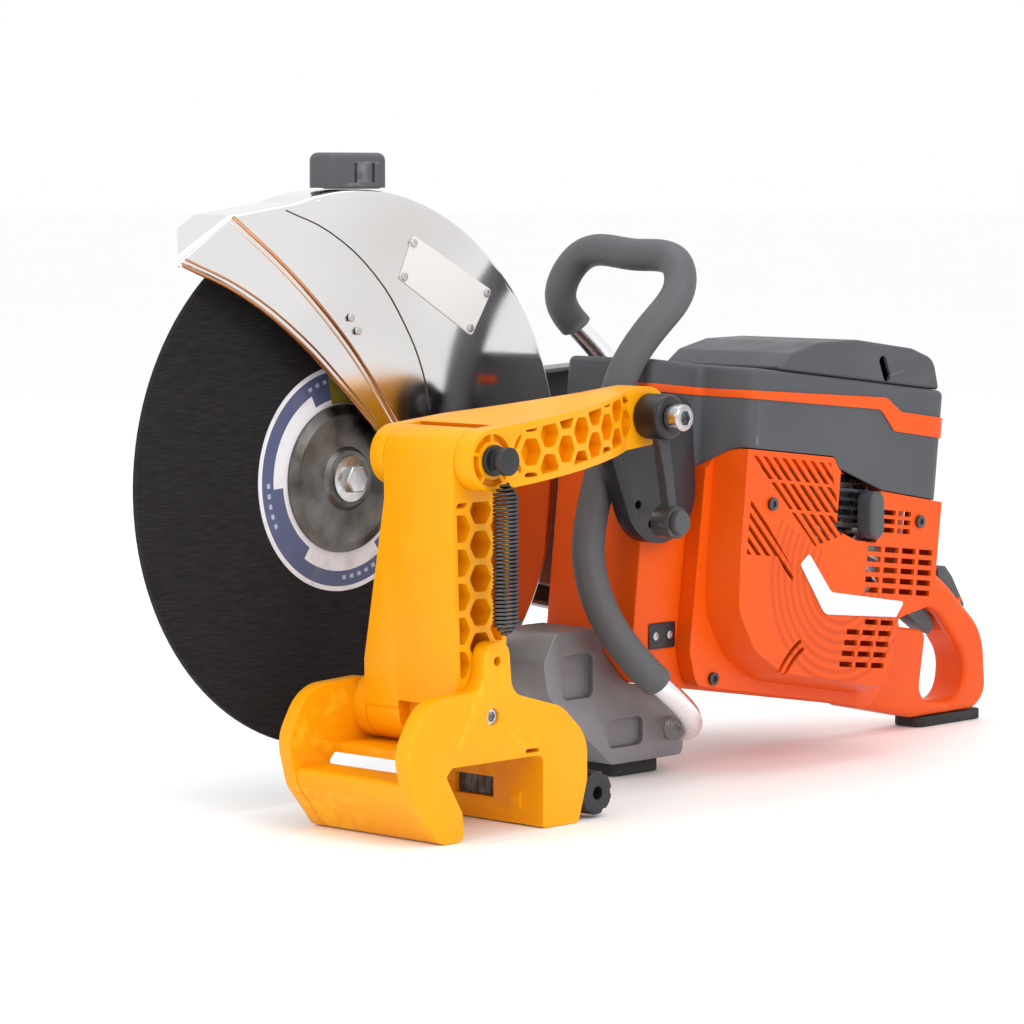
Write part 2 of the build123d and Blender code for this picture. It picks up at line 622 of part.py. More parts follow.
SCREW_HEAD = 5.5
with BuildPart() as cover_screws:
    for screw_x, screw_z in ((CRANK_X - 120, 230), (CRANK_X - 120, 190), (SPINDLE_X + 80, 235)):
        with BuildSketch(side(COVER_BACK_Y + SCREW_HEAD)):
            with Locations((screw_x, screw_z)):
                RegularPolygon(7, 6)
        extrude(amount=SCREW_HEAD)
cover_screws.part.label = "cover_screws"
export_step(cover_screws.part, "parts/cover_screws.step")

# guard: half drum over the blade, open below, with a straight-run front lip
FRONT_CHORD = ((-176, 160), (-60, 104), (16, 36), (86, -52), (150, -142))
BACK_CHORD = ((-176, 170), (-140, 163), (-100, 146), (-66, 70), (-46, -40), (20, -62), (150, -142))


def tip_cut(inset):
    """Plan area beyond the guard's slanted tip, moved in by the inset."""
    with BuildSketch() as area:
        with BuildLine():
            Polyline((-470, 40), (-436 + inset, 40), (-388 + inset, 95), (-470, 95), close=True)
        make_face()
    return area.sketch


with BuildPart() as guard_hollow:
    with BuildSketch(side(GUARD_BACK_Y - GUARD_WALL)):
        with Locations((SPINDLE_X, SPINDLE_Z)):
            Circle(GUARD_RADIUS - GUARD_WALL)
        with BuildLine():
            Polyline(
                (SPINDLE_X - 62, SPINDLE_Z + 202.5), (SPINDLE_X - 125.5, SPINDLE_Z + 193.5),
                (SPINDLE_X - 179, SPINDLE_Z + 162), (SPINDLE_X - 200, SPINDLE_Z + 120),
                (SPINDLE_X, SPINDLE_Z + 60), close=True,
            )
        make_face()
    extrude(amount=GUARD_BACK_Y - GUARD_FRONT_Y - 2 * GUARD_WALL)
    with BuildSketch(Plane.XY.offset(330)):
        add(tip_cut(GUARD_WALL + 0.6))
    extrude(amount=150, mode=Mode.SUBTRACT)

with BuildPart() as guard_shell:
    with BuildSketch(side(GUARD_BACK_Y)):
        with Locations((SPINDLE_X, SPINDLE_Z)):
            Circle(GUARD_RADIUS)
        with BuildLine():
            Polyline(
                (SPINDLE_X - 62, SPINDLE_Z + 204.8), (SPINDLE_X - 126, SPINDLE_Z + 196),
                (SPINDLE_X - 181, SPINDLE_Z + 164), (SPINDLE_X - 120, SPINDLE_Z + 120), close=True,
            )
        make_face()
    extrude(amount=GUARD_BACK_Y - GUARD_FRONT_Y)
    fillet(guard_shell.faces().sort_by(Axis.Y)[0].outer_wire().edges(), 5)
    with BuildSketch(Plane.XY.offset(330)):
        add(tip_cut(0))
    extrude(amount=150, mode=Mode.SUBTRACT)
    add(guard_hollow.part, mode=Mode.SUBTRACT)
    for chord_points, cut_y, cut_depth in (
        (FRONT_CHORD, GUARD_BACK_Y - GUARD_WALL, 60), (BACK_CHORD, GUARD_BACK_Y + 1, 10),
    ):
        with BuildSketch(side(cut_y)):
            with BuildLine():
                chord = Spline(*[(SPINDLE_X + x, SPINDLE_Z + z) for x, z in chord_points])
                Polyline(
                    chord @ 1, (SPINDLE_X + 150, -40), (SPINDLE_X - 260, -40), (SPINDLE_X - 260, 395),
                    chord @ 0,
                )
            make_face()
        extrude(amount=cut_depth, mode=Mode.SUBTRACT)
    with BuildSketch(side(GUARD_BACK_Y + 1)):
        with Locations((SPINDLE_X, SPINDLE_Z)):
            Circle(26)
    extrude(amount=10, mode=Mode.SUBTRACT)
guard_shell.part.label = "guard_shell"
export_step(guard_shell.part, "parts/guard_shell.step")

# ================================================================ engine
CASE_BACK_Y, CASE_FRONT_Y = 40, -34
ENGINE_Y = 3
with BuildPart() as crankcase:
    with BuildSketch(side(CASE_BACK_Y)):
        add(rounded([
            (CRANK_X - 46, CRANK_Z + 48, 6), (CRANK_X - 46, CRANK_Z - 46, 42), (CRANK_X + 46, CRANK_Z - 46, 42),
            (CRANK_X + 46, CRANK_Z + 48, 6),
        ]))
    extrude(amount=CASE_BACK_Y - CASE_FRONT_Y)
    with BuildSketch(side(CASE_BACK_Y - BEARING_WIDTH)):
        with Locations((CRANK_X, CRANK_Z)):
            Circle(36)
    extrude(amount=CASE_BACK_Y - CASE_FRONT_Y - 2 * BEARING_WIDTH - 2, mode=Mode.SUBTRACT)
    with BuildSketch(side(CASE_BACK_Y + 1)):
        with Locations((CRANK_X, CRANK_Z)):
            Circle(21)
    extrude(amount=90, mode=Mode.SUBTRACT)
    with BuildSketch(Plane.XY.offset(CRANK_Z + 25)):
        with Locations((CRANK_X, ENGINE_Y)):
            Circle(24)
    extrude(amount=30, mode=Mode.SUBTRACT)
crankcase.part.label = "crankcase"
export_step(crankcase.part, "parts/crankcase.step")

with BuildPart() as crankshaft:
    for start_y, radius, length, lift in (
        (PULLEY_Y, 10, 112.5, 0), (19, 33, 11, 0), (8, 9, 10, 21), (-2, 33, 11, 0), (-12, 10, 63, 0),
    ):
        with BuildSketch(side(start_y)):
            with Locations((CRANK_X, CRANK_Z + lift)):
                Circle(radius)
        extrude(amount=length)
crankshaft.part.label = "crankshaft"
export_step(crankshaft.part, "parts/crankshaft.step")

FLYWHEEL_Y, FLYWHEEL_RADIUS = -50, 54
with BuildPart() as flywheel:
    with BuildSketch(side(FLYWHEEL_Y)):
        with Locations((CRANK_X, CRANK_Z)):
            Circle(FLYWHEEL_RADIUS)
    extrude(amount=6)
    with BuildSketch(side(FLYWHEEL_Y - 6)):
        with Locations((CRANK_X, CRANK_Z)):
            Circle(16)
            with PolarLocations(36, 16):
                Rectangle(28, 2.4)
    extrude(amount=12)
    with BuildSketch(side(FLYWHEEL_Y + 1)):
        with Locations((CRANK_X, CRANK_Z)):
            Circle(10)
    extrude(amount=40, mode=Mode.SUBTRACT)
flywheel.part.label = "flywheel"
export_step(flywheel.part, "parts/flywheel.step")

CYLINDER_BASE, CYLINDER_TOP = CRANK_Z + 48.5, 276
with BuildPart() as cylinder:
    with BuildSketch(Plane.XY.offset(CYLINDER_BASE)):
        with Locations((CRANK_X, ENGINE_Y)):
            RectangleRounded(74, 66, 6)
    extrude(amount=5)
    with BuildSketch(Plane.XY.offset(CYLINDER_BASE)):
        with Locations((CRANK_X, ENGINE_Y)):
            Circle(31)
    extrude(amount=CYLINDER_TOP - CYLINDER_BASE)
    for fin in range(8):
        with BuildSketch(Plane.XY.offset(CYLINDER_BASE + 10 + 6 * fin)):
            with Locations((CRANK_X, ENGINE_Y)):
                RectangleRounded(84, 74, 12)
        extrude(amount=2)
    with BuildSketch(Plane.XY.offset(CYLINDER_BASE - 1)):
        with Locations((CRANK_X, ENGINE_Y)):
            Circle(25)
    extrude(amount=CYLINDER_TOP - CYLINDER_BASE - 6, mode=Mode.SUBTRACT)
    with BuildSketch(Plane.XY.offset(CYLINDER_TOP - 10)):
        with Locations((CRANK_X, ENGINE_Y)):
            Circle(6)
    extrude(amount=20, mode=Mode.SUBTRACT)
cylinder.part.label = "cylinder"
export_step(cylinder.part, "parts/cylinder.step")

with BuildPart() as piston:
    with BuildSketch(Plane.XY.offset(CYLINDER_BASE + 8)):
        with Locations((CRANK_X, ENGINE_Y)):
            Circle(25 - RUNNING_GAP)
    extrude(amount=34)
    with BuildSketch(Plane.XY.offset(CYLINDER_BASE + 7)):
        with Locations((CRANK_X, ENGINE_Y)):
            Circle(21)
    extrude(amount=30, mode=Mode.SUBTRACT)
piston.part.label = "piston"
export_step(piston.part, "parts/piston.step")

with BuildPart() as muffler:
    with BuildSketch(Plane.XY.offset(190)):
        with Locations((46, 2)):
            RectangleRounded(90, 74, 12)
    extrude(amount=66)
muffler.part.label = "muffler"
export_step(muffler.part, "parts/muffler.step")

# ================================================================ casings of the engine unit
# housing: open-topped tub over the fuel tank
TUB_TOP = 42
with BuildPart() as engine_housing:
    for wall, lift, mode in ((0, 0, Mode.ADD), (WALL, 20, Mode.SUBTRACT)):
        with BuildSketch(body_side(BODY_BACK_Y - wall)):
            add(rounded([
                (-45 + wall, TUB_TOP + lift, 1), (-45 + wall, -103 + wall, 14), (-15, -128 + wall, 22),
                (252, -140 + wall, 20), (275 - wall, -100, 20), (275 - wall, TUB_TOP + lift, 1),
            ]))
        extrude(amount=BODY_BACK_Y - BODY_FRONT_Y - 2 * wall, mode=mode)
    with BuildSketch(side(BODY_BACK_Y + 1)):
        with Locations((CRANK_X, CRANK_Z)):
            Circle(24)
    extrude(amount=WALL + 2, mode=Mode.SUBTRACT)
    with BuildSketch(side(BODY_FRONT_Y + WALL + 1)):
        with Locations((CRANK_X, CRANK_Z)):
            Circle(FLYWHEEL_RADIUS + 6)
    extrude(amount=WALL + 2, mode=Mode.SUBTRACT)
engine_housing.part.label = "engine_housing"
export_step(engine_housing.part, "parts/engine_housing.step")


def plan(inset):
    """Plan outline of the top cover: wide over the starter, slanted in front, moved in by the inset."""
    return rounded([
        (-47 + inset, BODY_BACK_Y - inset, 8), (-47 + inset, BODY_FRONT_Y + inset, 8),
        (8 + inset / 2, BODY_FRONT_Y + inset, 10), (26 + inset / 2, STARTER_Y + inset, 14),
        (270 - inset, STARTER_Y + inset, 18), (270 - inset, BODY_BACK_Y - inset, 16),
    ])


def seam(shift, end):
    """Area on one side of the stepped seam between top cover and starter cover, closed off at the end height."""
    return rounded([
        (-60, 42 + shift, 1), (9, 42 + shift, 5), (21, 59 + shift, 7), (127, 59 + shift, 3),
        (135, 50 + shift, 3), (190, 36 + shift, 3), (300, 30 + shift, 1), (300, end, 1), (-60, end, 1),
    ])


COVER_TOP = 121
with BuildPart() as top_cover:
    with BuildSketch(body_top(29)):
        add(plan(0))
    extrude(amount=COVER_TOP - 29)
    fillet(top_cover.faces().sort_by(Axis.Z)[-1].outer_wire().edges(), 5)
    with BuildSketch(body_top(0)):
        add(plan(WALL))
    extrude(amount=COVER_TOP - WALL, mode=Mode.SUBTRACT)
    with BuildSketch(body_side(BODY_BACK_Y + 1)):
        add(rounded([(-60, TUB_TOP + CLEAR, 0.5), (300, TUB_TOP + CLEAR, 0.5), (300, 0, 1), (-60, 0, 1)]))
    extrude(amount=BODY_BACK_Y - BODY_FRONT_Y + 1.4, mode=Mode.SUBTRACT)
    with BuildSketch(body_side(BODY_FRONT_Y + 1)):
        add(seam(CLEAR, 0))
    extrude(amount=60, mode=Mode.SUBTRACT)
    with BuildSketch(body_top(COVER_TOP + 1)):
        with Locations((-12, 0)):
            Circle(9)
    extrude(amount=-10, mode=Mode.SUBTRACT)
top_cover.part.label = "top_cover"
export_step(top_cover.part, "parts/top_cover.step")

# air filter cover: hood on the top cover, flush with it on the starter side
with BuildPart() as air_filter_cover:
    with BuildSketch(body_side(34)):
        add(rounded([
            (55, 121.4, 2), (72, 136, 12), (104, 147, 30), (150, 153, 60), (222, 152, 22), (250, 146, 16),
            (260, 121.4, 2),
        ]))
    extrude(amount=118)
    fillet(air_filter_cover.faces().sort_by(Axis.Y)[0].edges().filter_by_position(Axis.Z, 300, 400)[1:-1], 3)
    with BuildSketch(body_side(31)):
        add(rounded([
            (61, 110, 2), (76, 133.5, 10), (106, 143.5, 28), (150, 149.5, 56), (221, 148.5, 20),
            (246, 143, 14), (255, 110, 2),
        ]))
    extrude(amount=112, mode=Mode.SUBTRACT)
    with BuildSketch(body_side(-70)):
        with Locations((187, 133)):
            SlotOverall(22, 9, rotation=-60)
    extrude(amount=20, mode=Mode.SUBTRACT)
air_filter_cover.part.label = "air_filter_cover"
export_step(air_filter_cover.part, "parts/air_filter_cover.step")

# coloured stripe round the starter side of the top cover, stepping down at the rear
with BuildPart() as cover_stripe:
    with BuildSketch(body_top(75)):
        add(plan(-1.2))
        add(plan(-0.1), mode=Mode.SUBTRACT)
    extrude(amount=40)
    with BuildSketch(body_side(-20)):
        add(rounded([
            (-60, 102, 1), (12, 103, 1), (186, 110, 12), (206, 100, 6), (280, 98.5, 1), (280, 82, 1),
            (199, 84, 6), (180, 100, 12), (12, 97, 1), (-60, 96, 1),
        ]))
    extrude(amount=80, mode=Mode.INTERSECT)
cover_stripe.part.label = "cover_stripe"
export_step(cover_stripe.part, "parts/cover_stripe.step")

# starter cover: skirt against the housing and a raised shell with sloped walls over the starter
SKIRT_Y = -60.5


def raised_outline(grow):
    """Outline of the raised shell at its outer face, grown by the given amount."""
    with BuildSketch() as face:
        add(rounded([
            (23, 70, 6), (24, -24, 60), (27, -66, 30), (50, -96, 26), (84, -112, 26), (213, -120, 8),
            (225, -64, 8), (268, -52, 8), (269, 70, 6),
        ]))
        offset(amount=grow)
    return face.sketch


with BuildPart() as starter_cover:
    with BuildSketch(body_side(BODY_FRONT_Y - CLEAR)):
        add(rounded([
            (7, 70, 2), (5, -100, 6), (16, -126, 12), (214, -137, 10), (232, -74, 10), (272, -62, 8),
            (272, 70, 6),
        ]))
    extrude(amount=BODY_FRONT_Y - CLEAR - SKIRT_Y)
    with BuildSketch(body_side(SKIRT_Y)):
        add(raised_outline(8))
    extrude(amount=SKIRT_Y - STARTER_Y, taper=16)
    with BuildSketch(body_side(BODY_FRONT_Y)):
        add(seam(-CLEAR, 120))
    extrude(amount=60, mode=Mode.SUBTRACT)
    with BuildSketch(body_side(BODY_FRONT_Y)):
        add(raised_outline(4))
        with Locations((150, 116)):
            Rectangle(400, 120, mode=Mode.SUBTRACT)
    extrude(amount=BODY_FRONT_Y - STARTER_Y - WALL, taper=14, mode=Mode.SUBTRACT)
    with BuildSketch(side(BODY_FRONT_Y)):
        with Locations((CRANK_X, CRANK_Z)):
            Circle(FLYWHEEL_RADIUS + 4)
    extrude(amount=24, mode=Mode.SUBTRACT)
    slots_y = STARTER_Y + WALL + 1
    with BuildSketch(body_side(slots_y)):
        with Locations((86, 10)):
            with Locations(Rotation(0, 0, -39.4)):
                with GridLocations(0, 7.2, 1, 19):
                    Rectangle(220, 3.4)
        with BuildLine():
            Polyline((29, 54), (124, 54), (145, -2), (112, -12), close=True)
        make_face(mode=Mode.INTERSECT)
        with Locations((86, 36), (86, 14)):
            Rectangle(220, 2.4, mode=Mode.SUBTRACT)
    extrude(amount=WALL + 2, mode=Mode.SUBTRACT)
    with BuildSketch(body_side(slots_y)):
        with Locations((86, 10)):
            with Locations(Rotation(0, 0, -39.4)):
                with GridLocations(0, 7.2, 1, 19):
                    Rectangle(220, 3.4)
        with BuildLine():
            Polyline((31, 23), (90, -33), (88, -44), (68, -22), (31, -22), close=True)
        make_face(mode=Mode.INTERSECT)
    extrude(amount=WALL + 2, mode=Mode.SUBTRACT)
    with BuildSketch(body_side(slots_y)):
        with Locations((220, -27)):
            with GridLocations(22, 8.2, 4, 5):
                Rectangle(17.5, 4.4)
        for row in range(5):
            for slot in range(2 if row == 0 else 3):
                with Locations((210 - 2 * row - 20 * slot, -69 - 8.6 * row)):
                    Rectangle(16, 4.2)
        for arc_radius in (67, 74):
            SlotArc(CenterArc((150, -35), arc_radius, 206, 36), 3.6)
        with Locations((212, 12)):
            with GridLocations(20, 7, 2, 3):
                Rectangle(16, 4)
    extrude(amount=WALL + 2, mode=Mode.SUBTRACT)
    with BuildSketch(body_side(slots_y)):
        add(rounded([(137, 60, 1), (137, 2, 3), (162, -5, 3), (189, -6, 3), (189, 60, 1)]))
    extrude(amount=WALL + 2, mode=Mode.SUBTRACT)
starter_cover.part.label = "starter_cover"
export_step(starter_cover.part, "parts/starter_cover.step")

# cooling grille behind the starter cover's opening
with BuildPart() as starter_grille:
    with BuildSketch(body_side(STARTER_Y + 12)):
        for fin in range(5):
            with Locations((162, 6 + 7 * fin)):
                Rectangle(58, 2.6)
        for post_u in (134, 190):
            with Locations((post_u, 20)):
                Rectangle(3, 34)
    extrude(amount=5)
starter_grille.part.label = "starter_grille"
export_step(starter_grille.part, "parts/starter_grille.step")

grip_x, grip_z = body_point(177, 16)
with BuildPart() as starter_grip:
    with BuildSketch(side(STARTER_Y + 6)):
        with Locations((grip_x, grip_z)):
            SlotOverall(38, 17, rotation=90)
    extrude(amount=16)
    fillet(starter_grip.faces().sort_by(Axis.Y)[0].outer_wire().edges(), 4)
starter_grip.part.label = "starter_grip"
export_step(starter_grip.part, "parts/starter_grip.step")

# blank light strip bent along the starter cover
with BuildPart() as side_trim:
    with BuildSketch(body_side(STARTER_Y - 0.1)):
        add(rounded([
            (95, -27, 2), (105, -18, 2), (136, -47, 8), (229, -51, 2), (220, -64, 2), (130, -65, 12),
        ]))
    extrude(amount=1.2)
side_trim.part.label = "side_trim"
export_step(side_trim.part, "parts/side_trim.step")

with BuildPart() as body_screws:
    for along, height, seat_y in (
        (56, 18, STARTER_Y), (241, 14, STARTER_Y), (34, -120, SKIRT_Y),
    ):
        with BuildSketch(body_side(seat_y - 0.1)):
            with Locations((along, height)):
                Circle(5)
        extrude(amount=2.5)
        with BuildSketch(body_side(seat_y - 1)):
            with Locations((along, height)):
                RegularPolygon(2.6, 6)
        extrude(amount=4, mode=Mode.SUBTRACT)
body_screws.part.label = "body_screws"
export_step(body_screws.part, "parts/body_screws.step")

cap_x, cap_z = body_point(90, -104)
with BuildPart() as fuel_cap:
    with BuildSketch(side(BODY_BACK_Y + CLEAR + 18)):
        with Locations((cap_x, cap_z)):
            Circle(18)
            with PolarLocations(19.5, 10):
                Circle(3, mode=Mode.SUBTRACT)
    extrude(amount=18)
fuel_cap.part.label = "fuel_cap"
export_step(fuel_cap.part, "parts/fuel_cap.step")

# decompression valve: push button standing in the front of the top cover
with BuildPart() as decompression_valve:
    with BuildSketch(body_top(COVER_TOP - 16)):
        with Locations((-12, 0)):
            Circle(8)
    extrude(amount=20)
decompression_valve.part.label = "decompression_valve"
export_step(decompression_valve.part, "parts/decompression_valve.step")

# ================================================================ handles, base and controls
# front handle path: from the belt side over the top, down the starter side and in to the base
HANDLE_PATH = (
    (52, 72, 306), (33, 85, 337), (10, 91, 370), (13, 76, 398), (8, 10, 403), (3, -38, 396),
    (-7, -49, 378), (-28, -46, 354), (-56, -36, 314), (-74, -31, 243), (-88, -30, 182), (-80, -46, 124),
    (-52, -65, 83), (-10, -62, 53), (14, -42, 38), (22, 0, 36),
)


def handle_bar(radius):
    """Round bar along the whole handle path."""
    with BuildPart() as bar:
        with BuildLine() as path:
            Spline(*HANDLE_PATH)
        with BuildSketch(Plane(origin=path.line @ 0, z_dir=path.line % 0)):
            Circle(radius)
        sweep(path=path.line)
    return bar.part


# front base: casting under the front of the engine unit, bored for the handle tube
BASE_BACK_Y, BASE_FRONT_Y = 44, -16
with BuildPart() as front_base:
    with BuildSketch(side(BASE_BACK_Y)):
        add(rounded([
            (-108, 119, 8), (-122, 98, 10), (-118, 72, 18), (-80, 40, 22), (-46, 12, 8), (36, 12, 6),
            (40, 50, 6), (-8, 66, 12), (-33, 96, 14), (-58, 119, 8),
        ]))
    extrude(amount=BASE_BACK_Y - BASE_FRONT_Y)
    with BuildSketch(body_side(BASE_BACK_Y + 1)):
        add(rounded([
            (-45.5, 90, 1), (-45.5, -103.5, 14), (-15, -128.5, 22), (120, -134.5, 1), (120, 90, 1),
        ]))
    extrude(amount=80, mode=Mode.SUBTRACT)
    add(handle_bar(TUBE_RADIUS + 0.02), mode=Mode.SUBTRACT)
    for pocket_x, pocket_z, pocket_width, pocket_height in ((-84, 84, 34, 34), (-30, 36, 40, 22)):
        with BuildSketch(side(BASE_FRONT_Y + 6)):
            with Locations((pocket_x, pocket_z)):
                RectangleRounded(pocket_width, pocket_height, 6)
        extrude(amount=12, mode=Mode.SUBTRACT)
front_base.part.label = "front_base"
export_step(front_base.part, "parts/front_base.step")

with BuildPart() as rubber_feet:
    for foot_x, foot_y, foot_length, foot_width, foot_height in (
        (-4, 14, 54, 38, 11.7), (396, HANDLE_Y, 88, 30, 8.5),
    ):
        with BuildSketch(Plane.XY):
            with Locations((foot_x, foot_y)):
                RectangleRounded(foot_length, foot_width, 8)
        extrude(amount=foot_height)
rubber_feet.part.label = "rubber_feet"
export_step(rubber_feet.part, "parts/rubber_feet.step")

with BuildPart() as front_handle_tube:
    add(handle_bar(TUBE_RADIUS))
front_handle_tube.part.label = "front_handle_tube"
export_step(front_handle_tube.part, "parts/front_handle_tube.step")

with BuildPart() as front_grip:
    add(handle_bar(GRIP_RADIUS))
    with BuildSketch(Plane(origin=(25, 87, 346), z_dir=(-0.6, 0.1, 0.8))):
        Circle(40)
    extrude(amount=-80, mode=Mode.SUBTRACT)
    with BuildSketch(Plane(origin=(-47, -60, 83), z_dir=(-0.72, 0.1, 0.68))):
        Circle(100)
    extrude(amount=-130, mode=Mode.SUBTRACT)
    add(handle_bar(TUBE_RADIUS + 0.02), mode=Mode.SUBTRACT)
front_grip.part.label = "front_grip"
export_step(front_grip.part, "parts/front_grip.step")

# bracket that carries the upper end of the handle tube on the cutting arm
with BuildPart() as handle_bracket:
    with BuildSketch(side(ARM_Y - CLEAR / 2)):
        add(hull((52, 306, 15), (60, 232, 18)))
    extrude(amount=32)
    add(handle_bar(TUBE_RADIUS + 0.02), mode=Mode.SUBTRACT)
handle_bracket.part.label = "handle_bracket"
export_step(handle_bracket.part, "parts/handle_bracket.step")

# rear handle: closed loop behind the engine with a slot for the trigger
HANDLE_BACK_Y = HANDLE_Y + HANDLE_WIDTH / 2
TRIGGER_WIDTH, LOCK_WIDTH = 15, 17
TRIGGER_PIVOT, LOCK_PIVOT = (346, 112), (410, 104)
PIN_RADIUS = 2
with BuildPart() as rear_handle:
    with BuildSketch(side(HANDLE_BACK_Y)):
        add(rounded([
            (262, 200, 8), (300, 186, 40), (345, 150, 30), (392, 117, 40), (440, 76, 50), (446, 9, 22),
            (345, 9, 8), (262, 26, 8),
        ]))
        add(
            rounded([
                (323, 103, 5), (324, 88, 4), (360, 82, 8), (350, 24, 14), (407, 17, 20), (414, 54, 30),
                (378, 94, 18), (348, 108, 10),
            ]),
            mode=Mode.SUBTRACT,
        )
    extrude(amount=HANDLE_WIDTH)
    for end in (0, -1):
        fillet(rear_handle.faces().sort_by(Axis.Y)[end].outer_wire().edges(), 7)
        fillet(rear_handle.faces().sort_by(Axis.Y)[end].inner_wires().edges(), 5)
    with BuildSketch(body_side(HANDLE_BACK_Y + 1)):
        with Locations((125, 0)):
            Rectangle(301, 500)
    extrude(amount=HANDLE_WIDTH + 2, mode=Mode.SUBTRACT)
    with BuildSketch(side(HANDLE_Y + TRIGGER_WIDTH / 2 + CLEAR)):
        add(rounded([(336, 90, 2), (392, 66, 2), (392, 100, 2), (358, 126, 2), (336, 124, 2)]))
    extrude(amount=TRIGGER_WIDTH + 2 * CLEAR, mode=Mode.SUBTRACT)
    with BuildSketch(side(HANDLE_Y + LOCK_WIDTH / 2 + CLEAR)):
        add(rounded([(378, 140, 2), (378, 109, 2), (412, 86, 2), (428, 92, 2), (440, 118, 2)]))
    extrude(amount=LOCK_WIDTH + 2 * CLEAR, mode=Mode.SUBTRACT)
    for pin_place in (TRIGGER_PIVOT, LOCK_PIVOT):
        with BuildSketch(side(HANDLE_Y + 12)):
            with Locations(pin_place):
                Circle(PIN_RADIUS)
        extrude(amount=24)
rear_handle.part.label = "rear_handle"
export_step(rear_handle.part, "parts/rear_handle.step")

with BuildPart() as throttle_trigger:
    with BuildSketch(side(HANDLE_Y + TRIGGER_WIDTH / 2)):
        add(rounded([
            (341, 117, 3), (341, 98, 4), (356, 88, 6), (374, 77, 2), (381, 84, 2), (366, 104, 8),
            (353, 117, 3),
        ]))
        with Locations(TRIGGER_PIVOT):
            Circle(PIN_RADIUS + RUNNING_GAP, mode=Mode.SUBTRACT)
    extrude(amount=TRIGGER_WIDTH)
throttle_trigger.part.label = "throttle_trigger"
export_step(throttle_trigger.part, "parts/throttle_trigger.step")

with BuildPart() as throttle_lock:
    with BuildSketch(side(HANDLE_Y + LOCK_WIDTH / 2)):
        add(rounded([(385, 134, 4), (385, 114, 4), (418, 92, 2), (421, 99, 2), (404, 124, 8), (394, 134, 5)]))
        with Locations(LOCK_PIVOT):
            Circle(PIN_RADIUS + RUNNING_GAP, mode=Mode.SUBTRACT)
    extrude(amount=LOCK_WIDTH)
throttle_lock.part.label = "throttle_lock"
export_step(throttle_lock.part, "parts/throttle_lock.step")

# stop switch and choke knob on the rear wall of the top cover
switch_x, switch_z = body_point(270, 90)
rear_wall = Plane(origin=(switch_x, 0, switch_z), x_dir=(0, 1, 0), z_dir=body_side(0).x_dir)
with BuildPart() as stop_switch:
    with BuildSketch(rear_wall.offset(0.3)):
        with Locations((HANDLE_Y - 18, 0)):
            RectangleRounded(16, 22, 3)
    extrude(amount=7)
stop_switch.part.label = "stop_switch"
export_step(stop_switch.part, "parts/stop_switch.step")

with BuildPart() as choke_knob:
    with BuildSketch(rear_wall.offset(0.3)):
        with Locations((HANDLE_Y + 14, 0)):
            Circle(6)
    extrude(amount=9)
    with BuildSketch(rear_wall.offset(9.3)):
        with Locations((HANDLE_Y + 14, 0)):
            Circle(11)
    extrude(amount=7)
choke_knob.part.label = "choke_knob"
export_step(choke_knob.part, "parts/choke_knob.step")

# small plate with two screws on the front of the housing's starter side
with BuildPart() as side_plate:
    with BuildSketch(side(BODY_FRONT_Y - 0.1)):
        with Locations((-23, 113)):
            RectangleRounded(30, 20, 2)
    extrude(amount=1.5)
side_plate.part.label = "side_plate"
export_step(side_plate.part, "parts/side_plate.step")

# ================================================================ guard fittings
BEAD = ((-126, 194), (-72, 152), (-23, 108), (39, 39))
LIP = ((-177, 163), (-121, 141), (-63, 105), (-18, 67), (10, 42))
with BuildPart() as guard_front_band:
    with BuildSketch(side(GUARD_FRONT_Y - 0.2)):
        with BuildLine():
            bead = Spline(*[(SPINDLE_X + x, SPINDLE_Z + z) for x, z in BEAD])
            lip = Spline(*[(SPINDLE_X + x, SPINDLE_Z + z) for x, z in LIP])
            Line(bead @ 0, lip @ 0)
            Line(bead @ 1, lip @ 1)
        make_face()
    extrude(amount=2.5)
guard_front_band.part.label = "guard_front_band"
export_step(guard_front_band.part, "parts/guard_front_band.step")

# blank rating plate on the guard
with BuildPart() as guard_plate:
    with BuildSketch(side(GUARD_FRONT_Y - 0.1)):
        add(rounded([(-196, 420, 3), (-112, 377, 3), (-134, 343, 3), (-211, 388, 3)]))
    extrude(amount=0.8)
guard_plate.part.label = "guard_plate"
export_step(guard_plate.part, "parts/guard_plate.step")

with BuildPart() as guard_rivets:
    for rivet_x, rivet_z in ((-196, 414), (-118, 375), (-136, 349), (-206, 389), (-261, 360), (-254, 350)):
        with BuildSketch(side(GUARD_FRONT_Y - 0.95)):
            with Locations((rivet_x, rivet_z)):
                Circle(3)
        extrude(amount=1.8)
guard_rivets.part.label = "guard_rivets"
export_step(guard_rivets.part, "parts/guard_rivets.step")

KNOB_X, KNOB_Z = -243, 455
KNOB_Y = (GUARD_FRONT_Y + GUARD_BACK_Y) / 2
with BuildPart() as guard_knob:
    with BuildSketch(Plane.XY.offset(KNOB_Z)):
        with Locations((KNOB_X, KNOB_Y)):
            RectangleRounded(64, 26, 10)
    extrude(amount=26)
    fillet(guard_knob.faces().sort_by(Axis.Z)[-1].outer_wire().edges(), 6)
    with BuildSketch(Plane.XY.offset(SPINDLE_Z + GUARD_RADIUS + 0.3)):
        with Locations((KNOB_X + 4, KNOB_Y)):
            RectangleRounded(46, 20, 6)
    extrude(amount=2)
    with BuildSketch(Plane.XY.offset(KNOB_Z + 4)):
        with Locations((KNOB_X - 4, KNOB_Y - 13), (KNOB_X + 14, KNOB_Y - 13)):
            Rectangle(3, 5)
    extrude(amount=14, mode=Mode.SUBTRACT)
guard_knob.part.label = "guard_knob"
export_step(guard_knob.part, "parts/guard_knob.step")
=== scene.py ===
import json
from math import cos, pi, radians, sin

